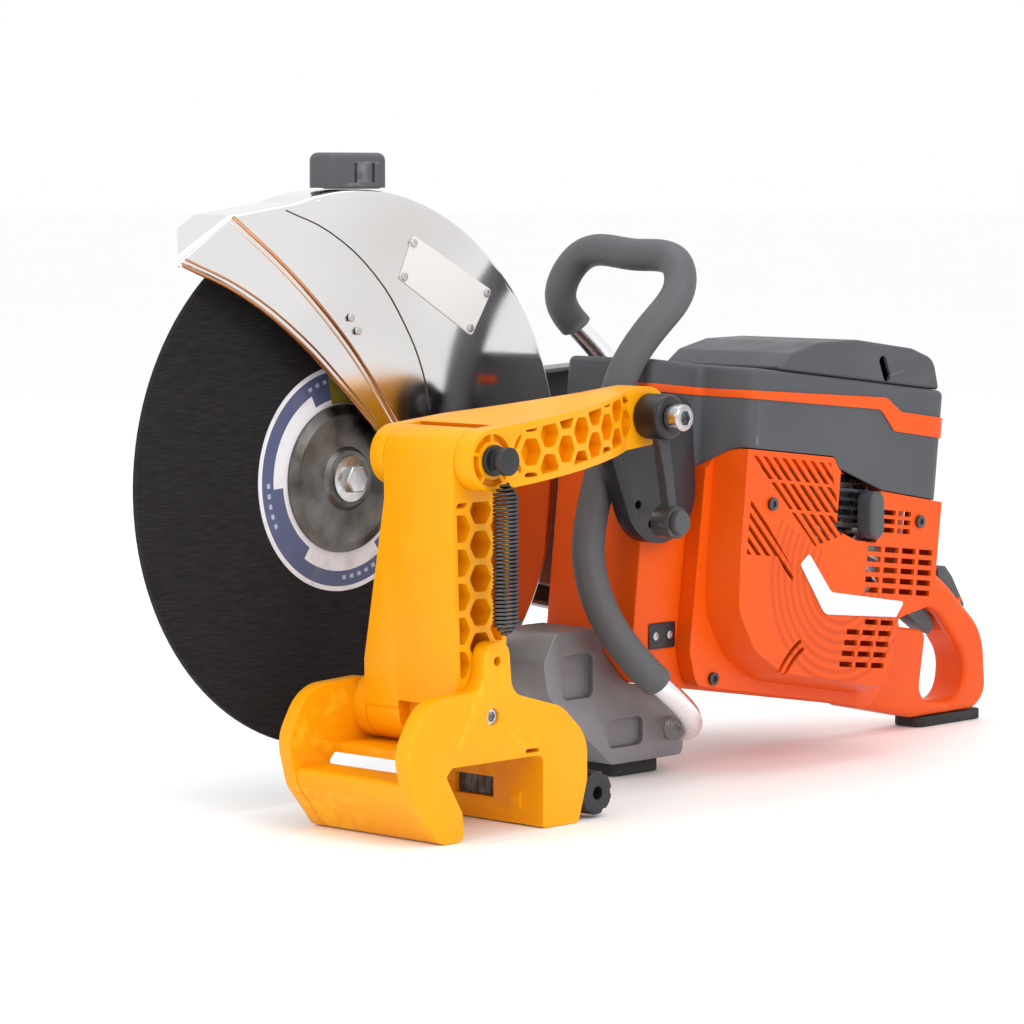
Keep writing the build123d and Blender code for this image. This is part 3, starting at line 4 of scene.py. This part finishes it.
import bmesh
import bpy
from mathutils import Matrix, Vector


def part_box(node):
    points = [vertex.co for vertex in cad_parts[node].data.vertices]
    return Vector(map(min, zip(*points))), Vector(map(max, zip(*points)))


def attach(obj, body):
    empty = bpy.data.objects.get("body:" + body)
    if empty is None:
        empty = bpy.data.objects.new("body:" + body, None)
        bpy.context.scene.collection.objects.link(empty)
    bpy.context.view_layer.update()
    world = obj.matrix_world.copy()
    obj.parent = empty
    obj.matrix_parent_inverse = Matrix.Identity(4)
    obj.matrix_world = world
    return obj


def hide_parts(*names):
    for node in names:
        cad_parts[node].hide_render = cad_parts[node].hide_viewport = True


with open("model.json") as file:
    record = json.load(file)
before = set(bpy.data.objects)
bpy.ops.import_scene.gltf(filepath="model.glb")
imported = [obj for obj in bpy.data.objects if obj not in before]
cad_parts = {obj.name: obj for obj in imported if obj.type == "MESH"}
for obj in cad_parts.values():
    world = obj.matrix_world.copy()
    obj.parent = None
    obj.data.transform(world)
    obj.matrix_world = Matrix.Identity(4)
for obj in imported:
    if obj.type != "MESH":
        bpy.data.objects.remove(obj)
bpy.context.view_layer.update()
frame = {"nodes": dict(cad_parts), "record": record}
nodes = frame["nodes"]
scene = bpy.context.scene
scene.view_settings.view_transform = "Standard"

# ---------------------------------------------------------------- the object's own places, in metres
SPINDLE = Vector((-0.250, 0.072, 0.240))
GUARD_FACE_Y = 0.049
BODY_TILT = radians(6.5)
BODY_Z = 0.200
STARTER_Y = -0.088
STARTER_U, STARTER_V = 0.150, -0.030


def body_place(u, v, y):
    """Point given in the engine unit's leaned frame, in metres."""
    x = u * cos(BODY_TILT) + v * sin(BODY_TILT)
    z = BODY_Z - u * sin(BODY_TILT) + v * cos(BODY_TILT)
    return Vector((x, y, z))


# ---------------------------------------------------------------- material tools
class Surface:
    """A procedural material under construction, with short names for the nodes it needs."""

    def __init__(self, name):
        self.material = bpy.data.materials.new(name)
        self.material.use_nodes = True
        self.tree = self.material.node_tree
        self.shader = self.tree.nodes["Principled BSDF"]
        self.place = self.add("ShaderNodeTexCoord").outputs["Object"]

    def add(self, kind, **settings):
        node = self.tree.nodes.new(kind)
        for key, value in settings.items():
            setattr(node, key, value)
        return node

    def plug(self, source, target):
        if isinstance(source, (int, float, tuple)):
            target.default_value = source
        else:
            self.tree.links.new(source, target)

    def math(self, operation, a, b=0.0, clamp=False):
        node = self.add("ShaderNodeMath", operation=operation, use_clamp=clamp)
        self.plug(a, node.inputs[0])
        self.plug(b, node.inputs[1])
        return node.outputs[0]

    def stretched(self, x, y, z):
        node = self.add("ShaderNodeMapping")
        self.plug(self.place, node.inputs["Vector"])
        node.inputs["Scale"].default_value = (x, y, z)
        return node.outputs[0]

    def noise(self, scale, detail=4.0, vector=None):
        node = self.add("ShaderNodeTexNoise")
        self.plug(vector or self.place, node.inputs["Vector"])
        node.inputs["Scale"].default_value = scale
        node.inputs["Detail"].default_value = detail
        return node.outputs["Fac"]

    def span(self, value, low, high, out_low=0.0, out_high=1.0):
        node = self.add("ShaderNodeMapRange")
        self.plug(value, node.inputs["Value"])
        for key, number in (("From Min", low), ("From Max", high), ("To Min", out_low), ("To Max", out_high)):
            node.inputs[key].default_value = number
        return node.outputs[0]

    def mix(self, factor, a, b):
        node = self.add("ShaderNodeMix", data_type="RGBA")
        self.plug(factor, node.inputs["Factor"])
        for value, socket in ((a, node.inputs[6]), (b, node.inputs[7])):
            self.plug((*value, 1.0) if isinstance(value, tuple) else value, socket)
        return node.outputs[2]

    def around(self, centre):
        """Offsets from an axis along Y through the centre, distance from it, and place along it."""
        apart = self.add("ShaderNodeSeparateXYZ")
        self.plug(self.place, apart.inputs[0])
        dx = self.math("SUBTRACT", apart.outputs[0], centre.x)
        dz = self.math("SUBTRACT", apart.outputs[2], centre.z)
        squares = self.math("ADD", self.math("MULTIPLY", dx, dx), self.math("MULTIPLY", dz, dz))
        return dx, dz, self.math("SQRT", squares), apart.outputs[1]

    def between(self, value, low, high):
        """1 where the value lies between the two limits, else 0."""
        above = self.math("GREATER_THAN", value, low)
        return self.math("MULTIPLY", above, self.math("LESS_THAN", value, high))

    def wave(self, value, times, shift=0.0):
        """Sine of the value times a number, plus a shift."""
        return self.math("SINE", self.math("ADD", self.math("MULTIPLY", value, times), shift))

    def edges(self, low, high):
        """1 on worn outer edges, broken up by noise."""
        pointiness = self.add("ShaderNodeNewGeometry").outputs["Pointiness"]
        sharp = self.span(pointiness, low, high)
        return self.math("MULTIPLY", sharp, self.span(self.noise(90), 0.42, 0.62), clamp=True)

    def bump(self, height, strength, distance, normal=None):
        node = self.add("ShaderNodeBump")
        self.plug(height, node.inputs["Height"])
        node.inputs["Strength"].default_value = strength
        node.inputs["Distance"].default_value = distance
        if normal:
            self.plug(normal, node.inputs["Normal"])
        self.plug(node.outputs[0], self.shader.inputs["Normal"])
        return node.outputs[0]

    def finish(self, color, rough, metallic=0.0, specular=0.5):
        self.plug(color, self.shader.inputs["Base Color"])
        self.plug(rough, self.shader.inputs["Roughness"])
        self.shader.inputs["Metallic"].default_value = metallic
        self.shader.inputs["Specular IOR Level"].default_value = specular
        return self.material


def coated(name, base, shade, worn, rough, grain, grain_scale, wear=(0.53, 0.58), specular=0.5, dusty=0.05):
    """Painted or moulded surface: mottled colour, a little dust, worn edges, fine grain."""
    s = Surface(name)
    color = s.mix(s.span(s.noise(7, 5), 0.35, 0.65), base, shade)
    dust = s.span(s.noise(26, 8), 0.60, 0.78, 0.0, dusty)
    color = s.mix(dust, color, worn)
    color = s.mix(s.edges(*wear), color, worn)
    s.bump(s.noise(grain_scale, 3), grain, 0.0004)
    return s.finish(color, s.span(s.noise(34, 6), 0.3, 0.7, *rough), specular=specular)


def metal(name, base, shade, rough, stretch=(1, 1, 1), grain=0.15, scale=160):
    """Bare metal: brushed or cast, with darker stains and varying gloss."""
    s = Surface(name)
    line = s.noise(scale, 6, s.stretched(*stretch))
    color = s.mix(s.span(s.noise(18, 6), 0.4, 0.7), base, shade)
    color = s.mix(s.span(line, 0.35, 0.7, 0.0, 0.35), color, shade)
    s.bump(line, grain, 0.0003)
    return s.finish(color, s.span(line, 0.3, 0.7, *rough), metallic=1.0)


PAINT = coated("attachment_powder_coat", (0.88, 0.37, 0.0), (0.84, 0.33, 0.0), (0.92, 0.44, 0.01),
               (0.36, 0.42), 0.10, 900, wear=(0.64, 0.80), specular=0.22, dusty=0.02)
ORANGE_BASE, ORANGE_SHADE, ORANGE_WORN = (0.76, 0.088, 0.001), (0.73, 0.076, 0.001), (0.86, 0.15, 0.01)
ORANGE = coated("orange_moulding", ORANGE_BASE, ORANGE_SHADE, ORANGE_WORN,
                (0.36, 0.42), 0.12, 1400, wear=(0.62, 0.78), specular=0.25, dusty=0.02)
GREY = coated("dark_grey_moulding", (0.070, 0.074, 0.082), (0.056, 0.060, 0.068), (0.16, 0.16, 0.17),
              (0.42, 0.56), 0.35, 1600, specular=0.4)
BLACK = coated("black_moulding", (0.012, 0.013, 0.017), (0.007, 0.007, 0.010), (0.07, 0.07, 0.08),
               (0.30, 0.48), 0.25, 1300)
DARK_PAINT = coated("dark_grey_paint", (0.045, 0.046, 0.050), (0.030, 0.031, 0.034), (0.20, 0.20, 0.20),
                    (0.32, 0.42), 0.2, 900, wear=(0.56, 0.68), dusty=0.03)
LIGHT_GREY = coated("light_grey_moulding", (0.36, 0.37, 0.40), (0.30, 0.31, 0.34), (0.50, 0.50, 0.52),
                    (0.35, 0.5), 0.2, 1300)
SLEEVE = coated("grip_rubber", (0.088, 0.090, 0.098), (0.070, 0.072, 0.079), (0.17, 0.17, 0.18),
                (0.46, 0.60), 0.5, 2200)
TREAD = coated("foot_rubber", (0.014, 0.014, 0.015), (0.03, 0.03, 0.03), (0.08, 0.08, 0.08),
               (0.7, 0.85), 0.7, 700, dusty=0.2)
CAST = coated("cast_alloy", (0.26, 0.255, 0.265), (0.20, 0.20, 0.21), (0.42, 0.42, 0.43),
              (0.38, 0.55), 0.55, 700, dusty=0.12)
CAST.node_tree.nodes["Principled BSDF"].inputs["Metallic"].default_value = 0.45
STEEL = metal("machined_steel", (0.66, 0.66, 0.67), (0.42, 0.42, 0.43), (0.20, 0.34), (1, 8, 1))
DARK_STEEL = metal("dark_spring_steel", (0.12, 0.12, 0.13), (0.05, 0.05, 0.055), (0.30, 0.46))
TUBE = metal("bare_aluminium_tube", (0.90, 0.90, 0.91), (0.80, 0.80, 0.81), (0.20, 0.30), (3, 3, 1), 0.06)


LATHE_LINES = 5200.0


def turned_steel():
    """Dark turned disc: fine rings about the spindle, with a brushed sheen."""
    s = Surface("turned_flange_steel")
    radius = s.around(SPINDLE)[2]
    ring = s.wave(radius, LATHE_LINES)
    cloudy = s.span(s.noise(45, 7), 0.32, 0.7)
    color = s.mix(cloudy, (0.085, 0.082, 0.080), (0.24, 0.235, 0.225))
    s.bump(ring, 0.25, 0.0002)
    return s.finish(color, s.span(cloudy, 0, 1, 0.28, 0.48), metallic=1.0)


def abrasive():
    """Resin-bonded disc: dark grit in fine straight rows, scuffed lighter in places."""
    s = Surface("abrasive_disc")
    rows = s.noise(60, 6, s.stretched(1.2, 1.0, 16.0))
    fine = s.noise(520, 4, s.stretched(1.0, 1.0, 4.5))
    grit = s.noise(1500, 2)
    color = s.mix(s.span(rows, 0.38, 0.66), (0.008, 0.007, 0.009), (0.020, 0.019, 0.021))
    color = s.mix(s.span(fine, 0.5, 0.75, 0.0, 0.6), color, (0.036, 0.034, 0.036))
    small = s.math("ADD", fine, s.math("MULTIPLY", grit, 0.5))
    height = s.math("ADD", s.math("MULTIPLY", rows, 1.4), small)
    s.bump(height, 0.75, 0.0007)
    return s.finish(color, s.span(fine, 0.3, 0.7, 0.66, 0.88), specular=0.2)


BAND_IN, BAND_OUT = 0.0595, 0.0805
ARCS_OUT = 0.0690
TICKS_IN, TICKS_OUT = 0.0725, 0.0755
PATCH_IN, PATCH_OUT = 0.0560, 0.0790
PATCH_FROM, PATCH_TO = 0.75, 1.75


def label():
    """Blank printed ring: white rim, blue-grey band with pale arcs, an olive patch, worn paper grain."""
    s = Surface("blade_label_print")
    dx, dz, radius, _ = s.around(SPINDLE)
    turn = s.math("ARCTAN2", dz, dx)
    white = (0.78, 0.79, 0.84)
    navy = (0.075, 0.095, 0.20)
    color = s.mix(s.between(radius, BAND_IN, BAND_OUT), white, navy)
    arcs = s.math("GREATER_THAN", s.wave(turn, 3.0), -0.2)
    color = s.mix(s.math("MULTIPLY", s.between(radius, BAND_IN, ARCS_OUT), arcs), color, white)
    dashes = s.math("GREATER_THAN", s.wave(turn, 60.0), 0.1)
    groups = s.math("GREATER_THAN", s.wave(turn, 4.0, 0.6), 0.55)
    ticks = s.math("MULTIPLY", s.between(radius, TICKS_IN, TICKS_OUT), dashes)
    color = s.mix(s.math("MULTIPLY", ticks, groups), color, (0.42, 0.46, 0.60))
    patch = s.math("MULTIPLY", s.between(turn, PATCH_FROM, PATCH_TO), s.between(radius, PATCH_IN, PATCH_OUT))
    color = s.mix(patch, color, (0.25, 0.21, 0.03))
    color = s.mix(s.span(s.noise(60, 7), 0.55, 0.8, 0.0, 0.35), color, (0.20, 0.19, 0.21))
    s.bump(s.noise(900, 2), 0.15, 0.0002)
    return s.finish(color, s.span(s.noise(80), 0.3, 0.7, 0.35, 0.55))


def polished(name, base, tint, bands):
    """Polished sheet: near-white metal with faint warm bands and fine polishing lines."""
    s = Surface(name)
    slow = s.noise(3.2, 2, s.stretched(1.0, 0.6, 1.6))
    color = s.mix(s.span(slow, *bands), base, tint)
    line = s.noise(420, 4, s.stretched(1, 1, 14))
    s.bump(line, 0.02, 0.0002)
    return s.finish(color, s.span(s.noise(12, 5), 0.3, 0.7, 0.07, 0.16), metallic=1.0)


FLANGE = turned_steel()
DISC = abrasive()
LABEL = label()
CHROME = polished("polished_guard", (0.80, 0.79, 0.785), (0.64, 0.61, 0.59), (0.50, 0.8))
# painted reflection: a coppery banded colour that stands in for the warm reflection along the guard's polished
# edges
PAINTED_EDGE_REFLECTION = polished("guard_edge_reflection", (0.72, 0.42, 0.24), (0.24, 0.10, 0.05), (0.42, 0.62))
PLATE = coated("blank_plate", (0.72, 0.72, 0.72), (0.66, 0.66, 0.67), (0.60, 0.60, 0.60),
               (0.33, 0.38), 0.05, 900, wear=(0.60, 0.72), dusty=0.02)
TRIM = coated("blank_trim", (0.80, 0.80, 0.81), (0.70, 0.71, 0.73), (0.60, 0.60, 0.60),
              (0.28, 0.4), 0.06, 900)
RIB_IN, RIB_OUT = 0.030, 0.092
RIB_STEP = 0.0078
FACE_DEPTH = 0.0015


def starter_moulding():
    """Orange moulding with shallow concentric steps round the starter, with painted shade darkening the
    grooves.
    """
    s = Surface("starter_orange_moulding")
    dx, dz, radius, along = s.around(body_place(STARTER_U, STARTER_V, 0.0))
    within = s.between(radius, RIB_IN, RIB_OUT)
    within = s.math("MULTIPLY", within, s.math("LESS_THAN", along, STARTER_Y + FACE_DEPTH))
    below = s.math("LESS_THAN", s.math("ADD", s.math("MULTIPLY", dx, 0.55), dz), 0.004)
    within = s.math("MULTIPLY", within, below)
    ring = s.wave(radius, 2 * pi / RIB_STEP)
    ring = s.math("MULTIPLY", s.math("POWER", s.math("MAXIMUM", ring, 0.0), 0.6), within)
    color = s.mix(s.span(s.noise(7, 5), 0.35, 0.65), ORANGE_BASE, ORANGE_SHADE)
    # painted shade: the colour darkens where the bump below sinks the grooves
    color = s.mix(s.math("MULTIPLY", ring, 0.35), color, (0.40, 0.030, 0.0))
    color = s.mix(s.edges(0.62, 0.78), color, ORANGE_WORN)
    grooves = s.bump(s.math("MULTIPLY", ring, -1.0), 0.8, 0.0008)
    s.bump(s.noise(1400, 3), 0.12, 0.0004, grooves)
    return s.finish(color, s.span(s.noise(34, 6), 0.3, 0.7, 0.36, 0.42), specular=0.25)


STARTER_ORANGE = starter_moulding()

LOOKS = {
    PAINT: "clamp_frame lower_arm upper_arm",
    ORANGE: "engine_housing cover_stripe rear_handle",
    STARTER_ORANGE: "starter_cover",
    GREY: "top_cover air_filter_cover starter_grip throttle_lock throttle_trigger guard_knob fuel_cap "
          "lever_knob",
    BLACK: "clamp_knob hub_sleeve saw_adapter side_plate stop_switch choke_knob starter_grille elbow_bolt",
    DARK_PAINT: "clamp_jaw lock_lever",
    LIGHT_GREY: "decompression_valve",
    SLEEVE: "front_grip",
    TREAD: "rubber_feet drive_belt",
    CAST: "belt_cover cutting_arm crankcase cylinder piston front_base handle_bracket",
    STEEL: "clamp_shaft clamp_pivot_bolt hub_bolt spindle spindle_bolt ball_bearings driven_pulley "
           "clutch_drum crankshaft cover_screws guard_rivets muffler flywheel",
    DARK_STEEL: "return_spring body_screws",
    TUBE: "front_handle_tube",
    DISC: "blade",
    LABEL: "blade_label",
    FLANGE: "outer_flange inner_flange",
    CHROME: "guard_shell guard_front_band",
    PLATE: "guard_plate",
    TRIM: "side_trim",
}
look_of = {name: material for material, names in LOOKS.items() for name in names.split()}
body_of = {name: body for body, names in frame["record"]["behaviour"]["bodies"].items() for name in names}


def dress(thing, material):
    thing.data.materials.clear()
    thing.data.materials.append(material)


for node_name, node_object in nodes.items():
    dress(node_object, look_of[node_name])


# ---------------------------------------------------------------- shape tools
def settled(thing):
    """The object's mesh with its modifiers applied."""
    bpy.context.view_layer.update()
    graph = bpy.context.evaluated_depsgraph_get()
    mesh = bpy.data.meshes.new_from_object(thing.evaluated_get(graph))
    old = thing.data
    thing.modifiers.clear()
    thing.data = mesh
    bpy.data.meshes.remove(old)
    return thing


def soften(node_name, width, segments=3, angle=28):
    """Replaces a CAD node by a copy of itself with rounded edges."""
    source = nodes[node_name]
    mesh = source.data.copy()
    thing = bpy.data.objects.new(node_name + "_soft", mesh)
    scene.collection.objects.link(thing)
    shape = bmesh.new()
    shape.from_mesh(mesh)
    bmesh.ops.remove_doubles(shape, verts=shape.verts, dist=2e-6)
    bmesh.ops.dissolve_limit(shape, angle_limit=radians(0.6), verts=shape.verts, edges=shape.edges)
    shape.to_mesh(mesh)
    shape.free()
    bevel = thing.modifiers.new("edges", "BEVEL")
    bevel.width = width
    bevel.segments = segments
    bevel.limit_method = "ANGLE"
    bevel.angle_limit = radians(angle)
    bevel.miter_outer = "MITER_ARC"
    bevel.use_clamp_overlap = True
    bevel.harden_normals = False
    settled(thing)
    smooth(thing, 38)
    dress(thing, look_of[node_name])
    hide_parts(node_name)
    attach(thing, body_of[node_name])
    return thing


def smooth(thing, angle=35):
    thing.data.shade_smooth()
    thing.data.set_sharp_from_angle(angle=radians(angle))


def rod(name, points, radius, material, body, cyclic=False):
    """Round bar along smooth points, as a mesh."""
    curve = bpy.data.curves.new(name, "CURVE")
    curve.dimensions = "3D"
    curve.bevel_depth = radius
    curve.bevel_resolution = 5
    curve.resolution_u = 4
    curve.use_fill_caps = True
    spline = curve.splines.new("BEZIER")
    spline.bezier_points.add(len(points) - 1)
    for knot, place in zip(spline.bezier_points, points):
        knot.co = place
        knot.handle_left_type = knot.handle_right_type = "AUTO"
    spline.use_cyclic_u = cyclic
    source = bpy.data.objects.new(name + "_path", curve)
    scene.collection.objects.link(source)
    bpy.context.view_layer.update()
    mesh = bpy.data.meshes.new_from_object(source.evaluated_get(bpy.context.evaluated_depsgraph_get()))
    bpy.data.objects.remove(source)
    thing = bpy.data.objects.new(name, mesh)
    scene.collection.objects.link(thing)
    dress(thing, material)
    smooth(thing, 60)
    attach(thing, body)
    return thing


SOFT_EDGES = {
    0.0030: "clamp_frame",
    0.0022: "lower_arm upper_arm engine_housing rear_handle air_filter_cover front_base",
    0.0015: "saw_adapter belt_cover cutting_arm handle_bracket top_cover clamp_jaw",
    0.0010: "clamp_knob starter_grip throttle_lock throttle_trigger stop_switch choke_knob fuel_cap guard_knob "
            "lock_lever lever_knob hub_sleeve side_plate rubber_feet clamp_shaft",
    0.0006: "hub_bolt spindle_bolt elbow_bolt clamp_pivot_bolt cover_screws guard_rivets body_screws side_trim "
            "cover_stripe",
}
for edge_width, names in SOFT_EDGES.items():
    for softened in names.split():
        soften(softened, edge_width)
SMOOTH_ONLY = ("starter_cover blade front_grip front_handle_tube outer_flange inner_flange guard_shell "
               "guard_front_band spindle")
for plain in SMOOTH_ONLY.split():
    smooth(nodes[plain], 35)

# ---------------------------------------------------------------- return spring: real coil, its ends drawn in toward the axis
spring_low, spring_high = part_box("return_spring")
spring_x = (spring_low.x + spring_high.x) / 2
spring_y = (spring_low.y + spring_high.y) / 2
COIL_RADIUS = 0.0080
WIRE = 0.0012
TURNS = 38
COIL_STEPS = 12
END_GAP = 0.004
top_z, low_z = spring_high.z - END_GAP, spring_low.z + END_GAP
coil_points = []
for step in range(TURNS * COIL_STEPS + 1):
    share = step / (TURNS * COIL_STEPS)
    reach = COIL_RADIUS * min(1.0, 0.2 + 12 * share, 0.2 + 12 * (1 - share))
    angle = 2 * pi * step / COIL_STEPS
    coil_points.append(Vector((
        spring_x + reach * cos(angle), spring_y + reach * sin(angle), low_z + (top_z - low_z) * share)))
coil = rod("return_spring_coil", coil_points, WIRE, DARK_STEEL, "lower_link")
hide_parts("return_spring")

# ---------------------------------------------------------------- guard: rolled beads along its front band
BEAD = ((-0.1275, 0.1943), (-0.072, 0.154), (-0.023, 0.110), (0.012, 0.071), (0.039, 0.037))
LIP = ((-0.176, 0.161), (-0.121, 0.139), (-0.063, 0.103), (-0.018, 0.065), (0.010, 0.040))


def guard_line(name, places, out, radius, material):
    points = [Vector((SPINDLE.x + x, GUARD_FACE_Y - out, SPINDLE.z + z)) for x, z in places]
    return rod(name, points, radius, material, "guard")


# the bead, the lip and the lip's rim carry the painted reflection colour; the bead's rim is plain polished
# metal
guard_line("guard_bead", BEAD, 0.0022, 0.0017, PAINTED_EDGE_REFLECTION)
guard_line("guard_bead_rim", [(x - 0.0034, z - 0.0030) for x, z in BEAD], 0.0026, 0.0009, CHROME)
guard_line("guard_lip", LIP, 0.0030, 0.0015, PAINTED_EDGE_REFLECTION)
guard_line("guard_lip_rim", [(x + 0.0028, z + 0.0042) for x, z in LIP], 0.0026, 0.0009, PAINTED_EDGE_REFLECTION)

SEAM = ((-0.0742, 0.1990), (-0.031, 0.183), (0.015, 0.151), (0.046, 0.113), (0.064, 0.079), (0.072, 0.049))
guard_line("guard_seam", SEAM, 0.0002, 0.0005, DARK_STEEL)

# ---------------------------------------------------------------- two bright screws on the small side plate
SCREW_SIDES = 28


def screw_head(name, place, radius, height):
    """Round screw head with a recessed middle, facing the starter side."""
    profile = ((0.45 * radius, 0.3 * height), (0.45 * radius, height), (0.80 * radius, height),
               (radius, 0.7 * height), (radius, 0.0))
    shape = bmesh.new()
    rings = []
    for reach, out in profile:
        ring = []
        for step in range(SCREW_SIDES):
            turn = 2 * pi * step / SCREW_SIDES
            ring.append(shape.verts.new(place + Vector((reach * cos(turn), -out, reach * sin(turn)))))
        rings.append(ring)
    for inner, outer in zip(rings, rings[1:]):
        for step in range(SCREW_SIDES):
            following = (step + 1) % SCREW_SIDES
            shape.faces.new((inner[step], inner[following], outer[following], outer[step]))
    shape.faces.new(rings[0])
    shape.faces.new(rings[-1])
    bmesh.ops.recalc_face_normals(shape, faces=shape.faces)
    mesh = bpy.data.meshes.new(name)
    shape.to_mesh(mesh)
    shape.free()
    thing = bpy.data.objects.new(name, mesh)
    scene.collection.objects.link(thing)
    dress(thing, STEEL)
    smooth(thing, 35)
    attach(thing, "saw")


plate_low, plate_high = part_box("side_plate")
plate_middle = (plate_low + plate_high) / 2
SCREW_SHIFT, SCREW_RADIUS, SCREW_HEIGHT = 0.27, 0.0032, 0.0010
for side_name, shift in (("front", -SCREW_SHIFT), ("rear", SCREW_SHIFT)):
    across = plate_middle.x + shift * (plate_high.x - plate_low.x)
    place = Vector((across, plate_low.y, plate_middle.z))
    screw_head(f"side_plate_screw_{side_name}", place, SCREW_RADIUS, SCREW_HEIGHT)

# ---------------------------------------------------------------- camera, floor and light
camera = bpy.data.objects.new("camera", bpy.data.cameras.new("camera"))
scene.collection.objects.link(camera)
CAMERA_PLACE = (-2.2969, -2.0757, 0.4642)
HEADING, DROP = radians(-46.1), 0.083979
ahead = Vector((cos(pi / 2 + HEADING) * cos(DROP), sin(pi / 2 + HEADING) * cos(DROP), -sin(DROP)))
camera.location = CAMERA_PLACE
camera.rotation_euler = ahead.to_track_quat("-Z", "Y").to_euler()
camera.data.lens = 140.6
camera.data.sensor_width = 36
camera.data.clip_end = 50
scene.camera = camera


def floor_material():
    s = Surface("studio_floor")
    color = s.mix(s.span(s.noise(2.0, 3), 0.3, 0.7), (0.985, 0.985, 0.985), (0.97, 0.97, 0.972))
    s.bump(s.noise(60, 4), 0.02, 0.001)
    return s.finish(color, s.span(s.noise(5), 0.3, 0.7, 0.5, 0.6), specular=0.2)


floor_mesh = bpy.data.meshes.new("studio_floor")
FLOOR_REACH = 45
CORNERS = ((-1, -1), (1, -1), (1, 1), (-1, 1))
floor_mesh.from_pydata([(x * FLOOR_REACH, y * FLOOR_REACH, 0) for x, y in CORNERS], [], [(0, 1, 2, 3)])
floor = bpy.data.objects.new("studio_floor", floor_mesh)
floor.location.z = -0.0005
scene.collection.objects.link(floor)
dress(floor, floor_material())

world = bpy.data.worlds.new("studio")
world.use_nodes = True
scene.world = world
world.node_tree.nodes["Background"].inputs["Color"].default_value = (1.0, 1.0, 1.0, 1.0)
world.node_tree.nodes["Background"].inputs["Strength"].default_value = 1.0


def soft_light(name, place, aim, size, power, tall=None):
    lamp = bpy.data.lights.new(name, "AREA")
    lamp.energy = power
    lamp.size = size
    if tall:
        lamp.shape = "RECTANGLE"
        lamp.size_y = tall
    thing = bpy.data.objects.new(name, lamp)
    thing.location = place
    thing.rotation_euler = (Vector(aim) - Vector(place)).to_track_quat("-Z", "Y").to_euler()
    scene.collection.objects.link(thing)


soft_light("key_light", (-0.6, -2.6, 1.9), (0, 0, 0.25), 1.6, 30)
soft_light("left_light", (-2.8, 0.4, 1.4), (-0.1, 0, 0.25), 1.4, 16)
soft_light("top_light", (0.2, 0.2, 2.8), (0, 0, 0.2), 2.4, 24)
